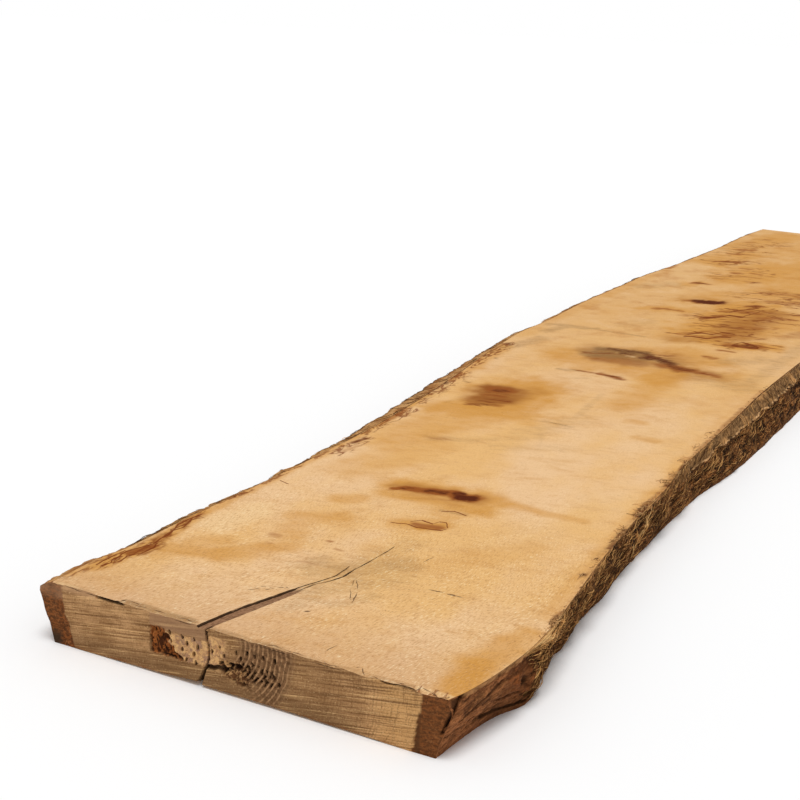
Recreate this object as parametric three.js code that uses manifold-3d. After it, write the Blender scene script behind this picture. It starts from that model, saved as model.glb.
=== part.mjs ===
// An oak live edge board: one plank sawn through a log, with the bark left on both long edges.
// Millimetres. X runs across the board and +Y from its near end to its far end, +Z is up, and the
// flat underside is at Z = 0. While it is built, s is the distance from the near end along Y, and
// x is the distance across from the line that the near end was measured from.

import * as THREE from 'three';
import { mergeVertices } from 'three/addons/utils/BufferGeometryUtils.js';
import Module from 'manifold-3d';

// Size of the board
const LENGTH = 2505;
const THICKNESS = 52.7; // at x = 0
const TOP_SLOPE = 0.0139; // the top falls to the right, because the saw ran a little out of true

// Outline from above: [s, x] of the left edge, as seen from above
const LEFT_EDGE = [
  [0, -190], [60, -190], [92, -184], [210, -183], [290, -179], [450, -180], [560, -188], [700, -200],
  [867, -217], [1034, -230], [1122, -235], [1196, -231], [1388, -235], [1600, -230], [1700, -229],
  [1908, -212], [2174, -200], [2339, -198], [LENGTH, -190],
];
// The right edge of the sawn top
const RIGHT_TOP = [
  [0, 187], [22, 194], [60, 201], [110, 206], [160, 205], [221, 200], [307, 192], [374, 188],
  [460, 184], [540, 183], [610, 177.5], [740, 177], [860, 177], [980, 176], [1150, 181], [1340, 189],
  [1500, 190], [1720, 181], [1950, 173], [2180, 172], [2360, 177], [LENGTH, 181],
];
// The right edge of the underside, with the lump of bark at s = 110 and the hollow after it
const RIGHT_FOOT = [
  [0, 179], [50, 185], [81, 192], [110, 204], [150, 199], [200, 190], [218, 192], [282, 185],
  [340, 187], [404, 181], [543, 181], [648, 183], [693, 186], [750, 193], [809, 198], [893, 201],
  [1010, 204], [1180, 207], [1350, 206], [1540, 203], [1720, 194], [1930, 186], [2150, 184], [LENGTH, 192],
];
// How far the ledge under the smooth wane stands out past the sawn top
const RIGHT_LEDGE = [
  [0, 2], [300, 1.5], [500, 2], [620, 6], [700, 7.5], [780, 9.5], [860, 12.5], [960, 17], [1150, 16],
  [1400, 12], [1700, 9], [2000, 7], [LENGTH, 8],
];
// How wide the rounded wane is on the left of the sawn top
const LEFT_WANE = [[0, 6], [150, 4.5], [420, 5], [560, 12], [820, 14], [980, 8], [1300, 6], [LENGTH, 6]];

// Depths below the top at which the side faces are shaped
const SHOULDER_DROP = 5;
const LEDGE_DROP = 10;
const SIDE_DROPS = [0, SHOULDER_DROP, LEDGE_DROP, 17, 26, 35, 44]; // and the underside
const LEFT_SHOULDER = 6; // how far the bark stands out past the left edge at the shoulder
const LEFT_BELLY = 8; // and at the ledge
const LEFT_UNDERCUT = 9; // how far the foot lies inside the left edge

// Lumps and ridges of the bark: length along the board, height and depth of each size
const BARK_LUMP = { along: 46, up: 24, out: 3.2 };
const BARK_RIDGE = { along: 21, up: 10, out: 2.2 };
const SMOOTH_BARK = [[0, 0.25], [60, 0.4], [110, 0.9], [170, 1], [LENGTH, 1]]; // share of the roughness

// Spacing of the cross sections, closer near the near end, and columns across as shares of the width
const SECTION_STEPS = [
  { to: 300, step: 12 },
  { to: 1000, step: 16 },
  { to: LENGTH, step: 31 },
];
const COLUMNS = [0, 0.14, 0.28, 0.415, 0.43, 0.6, 0.8, 1];

// The near end is cupped: its underside is lifted in the middle, most beside the crack
const CUP_LIFT = 2.2;
const LIP_LIFT = 2.1;
const LIP_X = -35;
const LIP_WIDTH = 60;
const CUP_REACH = 260;

// The crack: its middle line on the top, its width there and its depth, at each s
const CRACK_LINE = [[-2, -28.8], [50, -18.4], [104, -3], [147, 11], [190, 16.8], [226, 19]];
const CRACK_WIDTH = [12.5, 10.5, 7.5, 5, 2, 0.6];
const CRACK_DEPTH = [7, 6.5, 5, 3.5, 1.8, 0.5];
// Where its floor lies, as shares of half its width: the left wall is steep, the right one slopes
const CRACK_FLOOR = [-0.95, -0.4];
// Its left and right walls on the near end, [x, z] from the underside up
const CRACK_LEFT_WALL = [[-37, -3], [-34.9, 4.3], [-28.4, 18], [-24.6, 30], [-25.8, 50]];
const CRACK_RIGHT_WALL = [[-29.4, -3], [-29.8, 3], [-25.2, 18], [-22.8, 30], [-24.4, 50]];
const CRACK_REACH = 88; // how far it runs into the board from the near end

// Decay in the near end: a hollow with one straight side, insect holes and rings that weathered out
const HOLLOW = {
  left: [[-81, 18], [-81, 24], [-81.4, 30], [-81.6, 37], [-81.8, 43]],
  right: [[-50, 17.5], [-63, 22], [-62, 30], [-69, 36], [-76, 43]],
  depth: 3.5,
};
const HOLES = [
  [-60.5, 33], [-50, 39], [-45.5, 33.5], [-38, 40], [-34, 34], [-38, 26.5], [-36, 20], [-46, 20],
  [-19.5, 33.5], [-13.5, 39], [-9, 32.5], [-13, 25.5], [-7, 20.5], [4, 26.5], [2.5, 38.5],
];
const HOLE_RADIUS = 1.6;
const HOLE_DEPTH = 7;
const HOLE_SIDES = 6;
const RING_CENTRE = [-17, 47]; // x and z of the heart of the log
const RING_RADII = [25, 31.5, 38, 44.5, 51, 57.5, 64];
const RING_GROOVE = { width: 2.6, depth: 2.6, from: -6, to: -48, steps: 6 };

// Splinter lifted from the near edge of the top: [s, x] of the slit behind it, and the slit's widths
const SPLINTER_LINE = [[-1, -138], [3.5, -128], [8, -115], [10, -105]];
const SPLINTER_WIDTH = [1.2, 2.6, 2, 0.4];
const SPLINTER_DEPTH = 5;
// Split behind the flake of bark at the near right corner: [x, z] from its foot up, with its widths
const FLAKE_LINE = [[184, 12], [188, 26], [191, 40], [193, 54]];
const FLAKE_WIDTH = [0.6, 1.6, 2.6, 4];
const FLAKE_START = 4.5; // s of its middle
const FLAKE_DEPTH = 13;

// A smooth curve through [s, value] points: cubic pieces whose slopes come from the neighbours
function curve(points) {
  const slope = points.map((_, i) => {
    const a = points[Math.max(i - 1, 0)];
    const b = points[Math.min(i + 1, points.length - 1)];
    return (b[1] - a[1]) / (b[0] - a[0]);
  });
  return (s) => {
    let i = 0;
    while (i < points.length - 2 && s > points[i + 1][0]) i += 1;
    const [[s0, v0], [s1, v1]] = [points[i], points[i + 1]];
    const h = s1 - s0;
    const t = THREE.MathUtils.clamp((s - s0) / h, 0, 1);
    const t2 = t * t;
    const t3 = t2 * t;
    return (
      (2 * t3 - 3 * t2 + 1) * v0 + (t3 - 2 * t2 + t) * h * slope[i] +
      (3 * t2 - 2 * t3) * v1 + (t3 - t2) * h * slope[i + 1]
    );
  };
}

const leftEdge = curve(LEFT_EDGE);
const rightTop = curve(RIGHT_TOP);
const rightFoot = curve(RIGHT_FOOT);
const rightLedge = curve(RIGHT_LEDGE);
const leftWane = curve(LEFT_WANE);
const smoothBark = curve(SMOOTH_BARK);

// A scattered number from 0 to 1 for each whole-number place
function scatter(i, j) {
  const v = Math.sin(i * 127.1 + j * 311.7) * 43758.5453;
  return v - Math.floor(v);
}

// Smooth hills and hollows from -1 to 1, one for each unit of u and v
function hills(u, v) {
  const i = Math.floor(u);
  const j = Math.floor(v);
  const a = THREE.MathUtils.smoothstep(u - i, 0, 1);
  const b = THREE.MathUtils.smoothstep(v - j, 0, 1);
  const low = THREE.MathUtils.lerp(scatter(i, j), scatter(i + 1, j), a);
  const high = THREE.MathUtils.lerp(scatter(i, j + 1), scatter(i + 1, j + 1), a);
  return 2 * THREE.MathUtils.lerp(low, high, b) - 1;
}

// How far the bark stands out at a place on a side face: lumps, with ridges on them
function barkRelief(s, drop, side) {
  const start = side * 40;
  const lump = hills(s / BARK_LUMP.along + start, drop / BARK_LUMP.up + start) * BARK_LUMP.out;
  const ridge = hills(s / BARK_RIDGE.along + start, drop / BARK_RIDGE.up + start) * BARK_RIDGE.out;
  const fade = Math.min(1, drop / LEDGE_DROP) * (drop > THICKNESS - 3 ? 0.4 : 1);
  return (lump + ridge) * fade * (side > 0 ? smoothBark(s) : 1);
}

function topHeight(x) {
  return THICKNESS - TOP_SLOPE * x;
}

// The underside is flat, apart from the cup at the near end, which fades out along the board
function footHeight(x, s) {
  const away = THREE.MathUtils.clamp(1 - s / CUP_REACH, 0, 1);
  const cup = Math.max(0, 1 - (x / 165) ** 2) * CUP_LIFT;
  const lip = x <= LIP_X ? Math.max(0, 1 + (x - LIP_X) / LIP_WIDTH) ** 2 * LIP_LIFT : 0;
  return (cup + lip) * away * away;
}

// x of the left side face at a drop below the top: wane, shoulder, belly, and in again to the foot
function leftSide(s, drop) {
  const edge = leftEdge(s);
  const profile = curve([
    [0, edge + leftWane(s)], [SHOULDER_DROP, edge - LEFT_SHOULDER], [LEDGE_DROP, edge - LEFT_BELLY],
    [THICKNESS, edge + LEFT_UNDERCUT],
  ]);
  return profile(drop) - barkRelief(s, drop, -1);
}

// x of the right side face at a drop below the top: wane down to the ledge, then bark to the foot
function rightSide(s, drop) {
  const ledge = rightTop(s) + rightLedge(s);
  const share = Math.min(1, drop / LEDGE_DROP);
  const below = THREE.MathUtils.smoothstep(drop, LEDGE_DROP, THICKNESS);
  const wane = THREE.MathUtils.lerp(rightTop(s), ledge, share ** 0.8);
  return THREE.MathUtils.lerp(wane, rightFoot(s), below) + barkRelief(s, drop, 1);
}

function sectionPlaces() {
  const places = [0];
  for (const { to, step } of SECTION_STEPS) {
    const start = places[places.length - 1];
    const count = Math.round((to - start) / step);
    for (let i = 1; i <= count; i += 1) places.push(start + ((to - start) * i) / count);
  }
  return places;
}

// The closed skin of a block of cells: place(i, j, k) is a corner, i along, j to the right, k up
function skin(along, across, up, place) {
  const positions = [];
  const face = (nu, nv, at) => {
    for (let u = 0; u < nu; u += 1) {
      for (let v = 0; v < nv; v += 1) {
        const [a, b, c, d] = [at(u, v), at(u + 1, v), at(u + 1, v + 1), at(u, v + 1)];
        positions.push(...a, ...b, ...c, ...a, ...c, ...d);
      }
    }
  };
  face(across, along, (u, v) => place(v, u, up));
  face(along, across, (u, v) => place(u, v, 0));
  face(along, up, (u, v) => place(u, across, v));
  face(up, along, (u, v) => place(v, 0, u));
  face(up, across, (u, v) => place(along, v, u));
  face(across, up, (u, v) => place(0, u, v));
  const geometry = new THREE.BufferGeometry();
  geometry.setAttribute('position', new THREE.Float32BufferAttribute(positions, 3));
  return geometry;
}

function boardBody() {
  const sections = sectionPlaces();
  const drops = SIDE_DROPS.slice().reverse();
  return skin(sections.length - 1, COLUMNS.length - 1, drops.length, (i, j, k) => {
    const s = sections[i];
    const drop = k === 0 ? THICKNESS : drops[k - 1];
    const x = THREE.MathUtils.lerp(leftSide(s, drop), rightSide(s, drop), COLUMNS[j]);
    const z = k === 0 ? footHeight(x, s) : topHeight(x) - drop;
    return [x, s, z];
  });
}

// The groove of the crack in the top: a steep left wall, a narrow floor and a sloping right wall
function topCrack() {
  const last = CRACK_LINE.length - 1;
  return skin(last, 1, 1, (i, j, k) => {
    const [s, x] = CRACK_LINE[i];
    const share = k === 1 ? [-1, 1.15][j] : CRACK_FLOOR[j];
    const z = k === 1 ? topHeight(x) + 1 : topHeight(x) - CRACK_DEPTH[i];
    return [x + (share * CRACK_WIDTH[i]) / 2, s, z];
  });
}

// The crack through the thickness at the near end, closing to nothing inside the board
function endCrack() {
  const last = CRACK_LEFT_WALL.length - 1;
  const follow = curve(CRACK_LINE);
  return skin(2, 1, last, (i, j, k) => {
    const s = [-2, CRACK_REACH / 2, CRACK_REACH][i];
    const shut = [1, 0.6, 0.06][i];
    const drift = follow(Math.max(s, -2)) - CRACK_LINE[0][1];
    const [left, right] = [CRACK_LEFT_WALL[k], CRACK_RIGHT_WALL[k]];
    const wall = j === 0 ? left : right;
    const middle = (left[0] + right[0]) / 2;
    return [middle + (wall[0] - middle) * shut + drift, s, wall[1]];
  });
}

function endHollow() {
  const last = HOLLOW.left.length - 1;
  return skin(1, 1, last, (i, j, k) => {
    const [x, z] = (j === 0 ? HOLLOW.left : HOLLOW.right)[k];
    const inward = i === 1 && j === 1 ? -3 : 0;
    return [x + inward, i === 0 ? -1 : HOLLOW.depth, z];
  });
}

function insectHole(x, z) {
  const hole = new THREE.CylinderGeometry(HOLE_RADIUS * 0.7, HOLE_RADIUS, HOLE_DEPTH + 1, HOLE_SIDES);
  return hole.translate(x, (HOLE_DEPTH - 1) / 2, z);
}

// A groove along one growth ring, where the soft early wood has gone
function ringGroove(radius) {
  const { width, depth, from, to, steps } = RING_GROOVE;
  return skin(1, 1, steps, (i, j, k) => {
    const turn = THREE.MathUtils.degToRad(THREE.MathUtils.lerp(to, from, k / steps));
    const half = (width / 2) * (i === 0 ? 1 : 0.4);
    const r = radius + (j === 0 ? -half : half);
    return [RING_CENTRE[0] + r * Math.cos(turn), i === 0 ? -1 : depth, RING_CENTRE[1] + r * Math.sin(turn)];
  });
}

function splinterSlit() {
  const last = SPLINTER_LINE.length - 1;
  return skin(1, last, 1, (i, j, k) => {
    const [s, x] = SPLINTER_LINE[j];
    const half = SPLINTER_WIDTH[j] / 2;
    const z = k === 1 ? topHeight(x) + 1 : topHeight(x) - SPLINTER_DEPTH;
    return [x, s + (i === 0 ? -half : half), z];
  });
}

function flakeSplit() {
  const last = FLAKE_LINE.length - 1;
  return skin(1, 1, last, (i, j, k) => {
    const [x, z] = FLAKE_LINE[k];
    const half = FLAKE_WIDTH[k] / 2;
    return [j === 0 ? x - FLAKE_DEPTH : x + 4, FLAKE_START + (i === 0 ? -half : half), z];
  });
}

const wasm = await Module();
wasm.setup();

function toSolid(geometry) {
  const bare = geometry.clone();
  bare.deleteAttribute('normal');
  bare.deleteAttribute('uv');
  const merged = mergeVertices(bare, 1e-3);
  return new wasm.Manifold(
    new wasm.Mesh({
      numProp: 3,
      vertProperties: new Float32Array(merged.attributes.position.array),
      triVerts: new Uint32Array(merged.index.array),
    }),
  );
}

function toGeometry(solid) {
  const { vertProperties, triVerts } = solid.getMesh();
  const geometry = new THREE.BufferGeometry();
  geometry.setAttribute('position', new THREE.Float32BufferAttribute(vertProperties, 3));
  geometry.setIndex(Array.from(triVerts));
  geometry.computeVertexNormals();
  return geometry;
}

function oakBoard() {
  const cuts = [
    topCrack(), endCrack(), endHollow(), splinterSlit(), flakeSplit(),
    ...HOLES.map(([x, z]) => insectHole(x, z)),
    ...RING_RADII.map(ringGroove),
  ];
  let solid = toSolid(boardBody());
  for (const cut of cuts) solid = solid.subtract(toSolid(cut));
  const geometry = toGeometry(solid);
  geometry.computeBoundingBox();
  const { min, max } = geometry.boundingBox;
  geometry.translate(-(min.x + max.x) / 2, -LENGTH / 2, 0);
  return geometry;
}

const oak = new THREE.MeshStandardMaterial({ color: 0xd2a56c, roughness: 0.85, metalness: 0 });
const board = new THREE.Mesh(oakBoard(), oak);
board.name = 'oak_board';

const group = new THREE.Group();
group.add(board);

export default group;
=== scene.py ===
"""A live edge oak board: sawn top with its stains, decayed near end, bark on both edges, loose fibres.

Shapes are worked out in millimetres on the board: x runs across it to the right, s along it from the
near end and z up from the underside. to_metres turns them into the frame's metres. Everything rides on
the one body and stands for the one solid.
"""

import math

import bpy
import numpy as np
from mathutils import Matrix, Vector


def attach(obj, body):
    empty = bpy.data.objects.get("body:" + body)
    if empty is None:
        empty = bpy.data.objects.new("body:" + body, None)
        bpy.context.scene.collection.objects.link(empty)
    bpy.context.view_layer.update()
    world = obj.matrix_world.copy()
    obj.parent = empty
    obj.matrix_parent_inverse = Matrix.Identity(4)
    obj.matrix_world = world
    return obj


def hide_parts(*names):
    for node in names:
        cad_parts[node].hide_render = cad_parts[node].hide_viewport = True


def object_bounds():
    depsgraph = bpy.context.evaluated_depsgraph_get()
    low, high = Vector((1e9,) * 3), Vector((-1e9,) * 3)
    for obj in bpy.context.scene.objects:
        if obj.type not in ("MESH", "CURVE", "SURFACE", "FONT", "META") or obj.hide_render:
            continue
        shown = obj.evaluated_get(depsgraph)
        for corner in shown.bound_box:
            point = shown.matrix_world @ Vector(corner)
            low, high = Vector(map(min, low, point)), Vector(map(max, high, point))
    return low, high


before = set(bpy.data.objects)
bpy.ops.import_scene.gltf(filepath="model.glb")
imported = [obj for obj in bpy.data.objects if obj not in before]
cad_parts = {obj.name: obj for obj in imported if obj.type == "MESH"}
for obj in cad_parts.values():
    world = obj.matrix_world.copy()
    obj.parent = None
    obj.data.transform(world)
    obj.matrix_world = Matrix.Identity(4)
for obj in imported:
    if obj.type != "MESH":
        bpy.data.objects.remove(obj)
cad_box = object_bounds()

# Size of the board, in millimetres. The outlines are (s, x) along the board and are the solid's own, but the
# left foot lies 3 mm further out than there
BODY = "root"
NODE = "oak_board"
LENGTH = (cad_box[1].y - cad_box[0].y) * 1000
BOX_MIDDLE = -17.2856  # x of the middle of the solid's box
THICKNESS = 52.7  # at x = 0
TOP_SLOPE = 0.0139  # the top falls to the right

LEFT_EDGE = [
    (0, -190), (60, -190), (92, -184), (210, -183), (290, -179), (450, -180), (560, -188), (700, -200),
    (867, -217), (1034, -230), (1122, -235), (1196, -231), (1388, -235), (1600, -230), (1700, -229),
    (1908, -212), (2174, -200), (2339, -198), (LENGTH, -190),
]
RIGHT_TOP = [
    (0, 187), (22, 194), (60, 201), (110, 206), (160, 205), (221, 200), (307, 192), (374, 188),
    (460, 184), (540, 183), (610, 177.5), (740, 177), (860, 177), (980, 176), (1150, 181), (1340, 189),
    (1500, 190), (1720, 181), (1950, 173), (2180, 172), (2360, 177), (LENGTH, 181),
]
RIGHT_FOOT = [
    (0, 179), (50, 185), (81, 192), (110, 204), (150, 199), (200, 190), (218, 192), (282, 185),
    (340, 187), (404, 181), (543, 181), (648, 183), (693, 186), (750, 193), (809, 198), (893, 201),
    (1010, 204), (1180, 207), (1350, 206), (1540, 203), (1720, 194), (1930, 186), (2150, 184),
    (LENGTH, 192),
]
RIGHT_LEDGE = [
    (0, 2), (300, 1.5), (500, 2), (620, 6), (700, 7.5), (780, 9.5), (860, 12.5), (960, 17), (1150, 16),
    (1400, 12), (1700, 9), (2000, 7), (LENGTH, 8),
]
LEFT_WANE = [(0, 6), (150, 4.5), (420, 5), (560, 12), (820, 14), (980, 8), (1300, 6), (LENGTH, 6)]
SHOULDER_DROP = 5
LEDGE_DROP = 10
FOOT_DROP = 44  # below this the side runs straight to the underside
LEFT_SHOULDER = 6  # how far the bark stands out past the left edge at the shoulder
LEFT_BELLY = 8  # and at the ledge
LEFT_UNDERCUT = 6  # how far the foot lies inside the left edge
BARK_LUMP = (46, 24, 3.2)  # length, height and depth of the bark's large lumps
BARK_RIDGE = (21, 10, 2.2)  # and of the smaller ones on them
SMOOTH_BARK = [(0, 0.25), (60, 0.4), (110, 0.9), (170, 1), (LENGTH, 1)]  # share of the roughness
CUP_LIFT = 2.2  # how far the underside is lifted at the near end, in its middle
CUP_HALF_WIDTH = 165
CUP_REACH = 260
LIP_LIFT = 2.1  # how much further it is lifted left of the crack
LIP_X = -35
LIP_WIDTH = 60

# The drying crack on the top, (s, x): the line that the mesh follows, its left and right lips, and the
# hairline that goes on from them
CRACK_GUIDE = [
    (0, -28.8), (50, -18.4), (104, -3), (147, 10), (190, 16.8), (226, 19), (400, 14), (900, 0), (LENGTH, -5),
]
LEFT_LIP = [
    (-2, -35), (27, -29.6), (52, -23.6), (76, -16), (98, -9.5), (110, -5), (131, 3), (145, 7.3), (170, 7.1),
]
RIGHT_LIP = [(-2, -23.5), (8, -22.4), (36, -15.6), (62, -9.3), (83, -4.3), (106, 0.7)]
HAIRLINE = [
    (96, -6), (104, -2.7), (121, 2.6), (131, 8.2), (147, 13.6), (163, 14), (189, 16.8), (217, 18.6),
    (232, 19),
]
LEFT_SLOT = (0.5, 3)  # half width and depth of the slot down the left lip
LEFT_SLOT_TAIL = 1.4  # its depth at its end
LEFT_SLOT_END = 168  # s
RIGHT_SLOT = (0.7, 2.4)
STRIP_DEPTH = (1.7, 0.8)  # how far the strip between the lips is sunk, at its left and its right
STRIP_END = 108  # s
HAIRLINE_SPAN = (94, 234)  # s of both its ends
HAIRLINE_HALF = (0.9, 0.45)  # half its width at its start and at its end
HAIRLINE_DEPTH = (2.2, 0.5)
# The crack down the near end, (z, x, half width)
CRACK_FACE = [
    (0, -33.2, 2.8), (4, -32.5, 2.4), (11, -29.3, 1.7), (18, -26.8, 1.2), (24, -24.6, 0.9), (30, -23.7, 0.9),
    (40, -24.8, 0.8), (48, -25.3, 0.6), (56, -24, 0.5),
]
CRACK_FACE_DEPTH = 8
CRACK_BRANCH = (-25, 19, -11, 22)  # (x, z, x, z) of its short branch to the right
BRANCH_HALF = 2.8
BRANCH_DEPTH = 4

# The near arris and the corners, in millimetres
SPLINTER = (-134, -111)  # x of both ends of the gap under the long splinter of the near arris
SPLINTER_SHADE_MARKS = [(-1, -119, 1.6, -112, 1.3), (1.6, -113, 7.4, -110, 1.0)]  # its tail on the top, like MARKS
# The splinter's tail on the top is painted near black, as painted shade in its gap
SPLINTER_DEPTH = 4
ARRIS_SPLIT = (130, 162)  # x of both ends of a shorter split under the top
ARRIS_SPLIT_DEPTH = 3
FLAKE = (160, 187)  # x of both ends of the flake lost beside the right corner
CORNER_SPLIT = (193, 45, 183, 22)  # the right corner's split on the near end, from (x, z) to (x, z)
CORNER_DEPTH = 5

# Painted shade on the near end, dark marks (z, x, z, x, half width): in the splinter's gap, and in cracks in
# the decay
END_SHADE_MARKS = [
    (52.6, -133, 53.8, -122, 1.8), (53.8, -122, 55.2, -111, 1.6), (54.4, -174, 52.8, -150, 0.4),
    (52.8, -150, 53.2, -136, 0.45),
    (38, -80.5, 20, -80, 0.6), (33, -76, 24, -75, 0.9), (38, -70, 31, -71, 0.8), (28, -69, 21, -66, 0.9),
    (40, -74, 36, -73, 0.7), (19.5, -74, 18, -50, 0.6), (22, -12, 23, 2, 0.9), (18, 2, 12, 18, 0.5),
    (50.5, 24, 50.2, 58, 0.4), (49.6, 66, 49.8, 104, 0.35), (52.2, -60, 52.4, -36, 0.4),
]
RING_CENTRE = (-17, 47)  # x and z of the heart of the log
RING_STEP = 4.1  # from one growth ring to the next
RING_DEPTH = 2.6  # of the wood lost between two rings
# The decay on the near end: x where it begins, (z, x) of the rot's right border, (x, z) of the top of the
# pale soft wood, and (x, z) of the foot of the crumbled patch
DECAY_LEFT = -82
ROT_RIGHT = [(17, -48), (21, -51), (24, -57), (28, -58), (31, -65), (35, -60), (39, -67), (43, -66)]
PALE_TOP = [(-82, 40), (-60, 40), (-26, 41), (-23, 47), (-4, 47), (2, 20)]
CRUMB_FOOT = [(-14, 19), (0, 13), (20, 8), (34, 16), (44, 24)]
HOLE_SIZE = (1.1, 1.9)  # half the width and half the height of an insect hole
HOLE_DEPTH = 6
INSECT_HOLES = [
    (-60.6, 33), (-50, 39), (-45.5, 34), (-38, 40), (-34, 34), (-38, 27), (-36, 20), (-46, 20), (-62, 40),
    (-50, 28), (-20.5, 34), (-13.5, 39), (-9, 33), (-13, 26), (-7, 21), (3, 39), (7, 35), (13, 41),
    (20, 40), (28, 41), (39, 41), (18, 33), (27, 28), (38, 27), (43, 22), (4, 27), (15, 29), (31, 22),
    (18, 22),
]
# Where the bark begins on the near end, (z, x)
LEFT_BARK = [(0, -161.5), (22, -167.6), (28, -171), (56, -175)]
RIGHT_BARK = [(0, 158.5), (8, 160.5), (47, 167), (56, 168)]

# The near end's masks, each a point attribute that the materials read; one is painted shade in cracks and
# holes
END_MASKS = ("pit", "rot", "pale_wood", "crumb", "rings", "ring_wood", "bevel", "mauve", "end_bark")

# How the meshes are divided: stations along the board, columns across it and rows down its sides
NEAR_STATIONS = [0, 0.5, 1.2, 2.2, 3.2, 4.2, 5.4, 6.6, 8, 9.4, 11, 13, 15]
WOOD_STATIONS = 289
OUTER_COLUMNS = 51  # on each side of the crack
CRACK_COLUMNS = 45
CRACK_BAND = 9  # the crack's columns reach this far to each side of it
SIDE_ROWS = 12
GAP_COLUMNS = 9  # under the crack, between the two x of GAP_SPAN
GAP_SPAN = (LIP_X - 2.5, LIP_X + 7.5)
FOOT_COLUMNS = 10  # on each side of them
NEAR_SPANS = [(-184, -86, 1.5), (-86, 62, 0.6), (62, 187, 1.5)]  # x from, x to and spacing on the near end
NEAR_ROWS = 78
NEAR_MARGIN = 0.35  # how far the patch that fills the near end stays from its border
FAR_PATCH = (14, 70)  # rows and columns
FAR_MARGIN = 0.8
BARK_STATIONS = 900
BARK_ROWS = 92
BACK_ROWS = 9
SHARP_EDGE = 38  # degrees between faces past which the wood's edge shows sharp

# The bark slabs
INSET = 4  # how far the wood lies behind the bark
BACK_GAP = 3.5  # how much further the bark's back lies inside
NEAR_RIM = 1.2  # the bark starts this far from the near end
SPLIT_START = 14  # the right corner's split opens this far from the near end on the top
SPLIT_DROP = 17  # and has come to the near end this far down
SPLIT_HALF = 3.4  # half its width
BARK_LEAN = 0.2  # the bark's fibres sink by this much for each millimetre towards the near end
BRANCH_KNOT = (97, 22)  # s and drop of the small knot in the right bark
KNOT_BEND = (13, 9)  # how far round the knot the fibres bend, and how much
KNOT_MOUND = (15, 1.8)  # its mound's reach and height
KNOT_HOLE = (3.8, 6)  # its hole's reach and depth
BARK_CREASES = [  # folds in the right bark near the end: (s, drop, s, drop, half width, depth)
    (14, 22, 62, 9, 2.2, 1.4), (62, 9, 92, 11, 1.8, 1.2), (52, 38, 112, 47, 2.6, 2.6),
    (30, 40, 60, 33, 1.6, 1.2), (64, 27, 96, 31, 2, 1.6), (118, 14, 140, 30, 3, 1.6),
    (138, 8, 170, 24, 4, 2.8), (8, 34, 40, 28, 1.4, 0.9),
]

# Loose fibres: how many there are, and their radii, either (thinnest, thickest) or the thickest alone
STRAND_POINTS = 7
RIGHT_STRANDS = 2600
LEFT_STRANDS = 1400
STRANDS_FROM = 104  # s of the first strand
STRANDS_SHORT = 80  # the last one starts this far before the far end
STRAND_LENGTHS = (9, 42)
SAW_HAIRS = 4500
SAW_HAIR_LENGTHS = (1, 3.4)
SAW_HAIR_REACH = 900  # from the near end
SINGLE_HAIRS = 110  # between the tufts of wiry hairs
SINGLE_HAIR_SPAN = (130, 1030)  # s
STRAND_RADII = (0.15, 0.42)
WIRE_RADII = (0.2, 0.46)
BARK_FIBRE = 0.36
STRAW_FIBRE = 0.55
SAW_HAIR = 0.11
TUFTS = [  # wiry hairs on the top's right border: (s, x, reach, hairs)
    (165, 207, 9, 40), (178, 205, 9, 14), (270, 190, 9, 8), (313, 190, 9, 6), (365, 187, 10, 8),
    (396, 185, 12, 10), (447, 186, 14, 14), (466, 184, 18, 24), (491, 184, 13, 12), (559, 182, 17, 16),
    (590, 180, 15, 12), (636, 178, 17, 14), (700, 177, 16, 8), (760, 177, 16, 8),
]
STRAW_BUNDLES = [  # long fibres torn out together: (s, drop, s, drop, lift, spread, fibres)
    (98, 0.6, 168, 1.4, 1.6, 1.6, 26), (106, 1.6, 164, 4, 2, 2.4, 16), (120, 1, 158, 9, 1.6, 3, 9),
    (152, 2, 178, 24, 2, 3, 12), (438, 40, 478, 2, 2.8, 1, 5), (430, 42, 472, 4, 2, 1.6, 4),
]
BARK_BUNDLES = [  # the same of darker bark fibres
    (104, 3, 164, 5, 1, 2, 24), (108, 4, 160, 7, 1.2, 2, 20), (118, 1, 150, 12, 1.5, 3, 16),
    (150, 3, 186, 26, 2, 4, 30), (162, 0, 182, 8, 3, 3, 20), (160, 8, 192, 2, 3, 4, 14),
    (436, 38, 486, 6, 2, 3, 10), (548, 20, 572, 3, 1.8, 3, 7), (610, 26, 632, 6, 1.8, 4, 7),
    (260, 36, 286, 8, 1.8, 4, 9), (700, 30, 728, 12, 2, 5, 8), (330, 30, 352, 6, 1.8, 4, 8),
    (520, 40, 534, 14, 2, 4, 7), (860, 34, 900, 14, 2, 6, 8),
]

# The studio: how brightly it lights a white top and a white upright face, its floor and its lights
TOP_LIGHT = 1.0
SIDE_LIGHT = 0.7
FLOOR_REACH = 40  # metres each way
FLOOR_WHITE = 0.96
ROOM_LIGHT = 0.5
SUN_LIGHT = 1.75
SUN_FROM = (0.1, -0.12, 1)
SUN_SPREAD = 30  # degrees, which makes its shadows soft

# The camera, from the photograph's own perspective: where it stands in board millimetres and how it is turned
CAMERA_PLACE = (552.8, -796.4, 523.2)
CAMERA_RIGHT = (0.8826857, 0.4687376, 0.0339271)
CAMERA_DOWN = (0.1573647, -0.2267676, -0.9611518)
CAMERA_FORWARD = (-0.4428344, 0.8537339, -0.2739273)
SENSOR_WIDTH = 36
FOCAL_LENGTH = 60.651  # on that sensor
VIEW_REACH = 200  # metres

# How the patterns lie in the materials, in degrees
CROSS_TURN = (0, 0, 18)  # the stains run across the board at this slant
SAW_TILT = (0, -9, 0)  # the saw lines on the ends rise to the right

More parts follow.
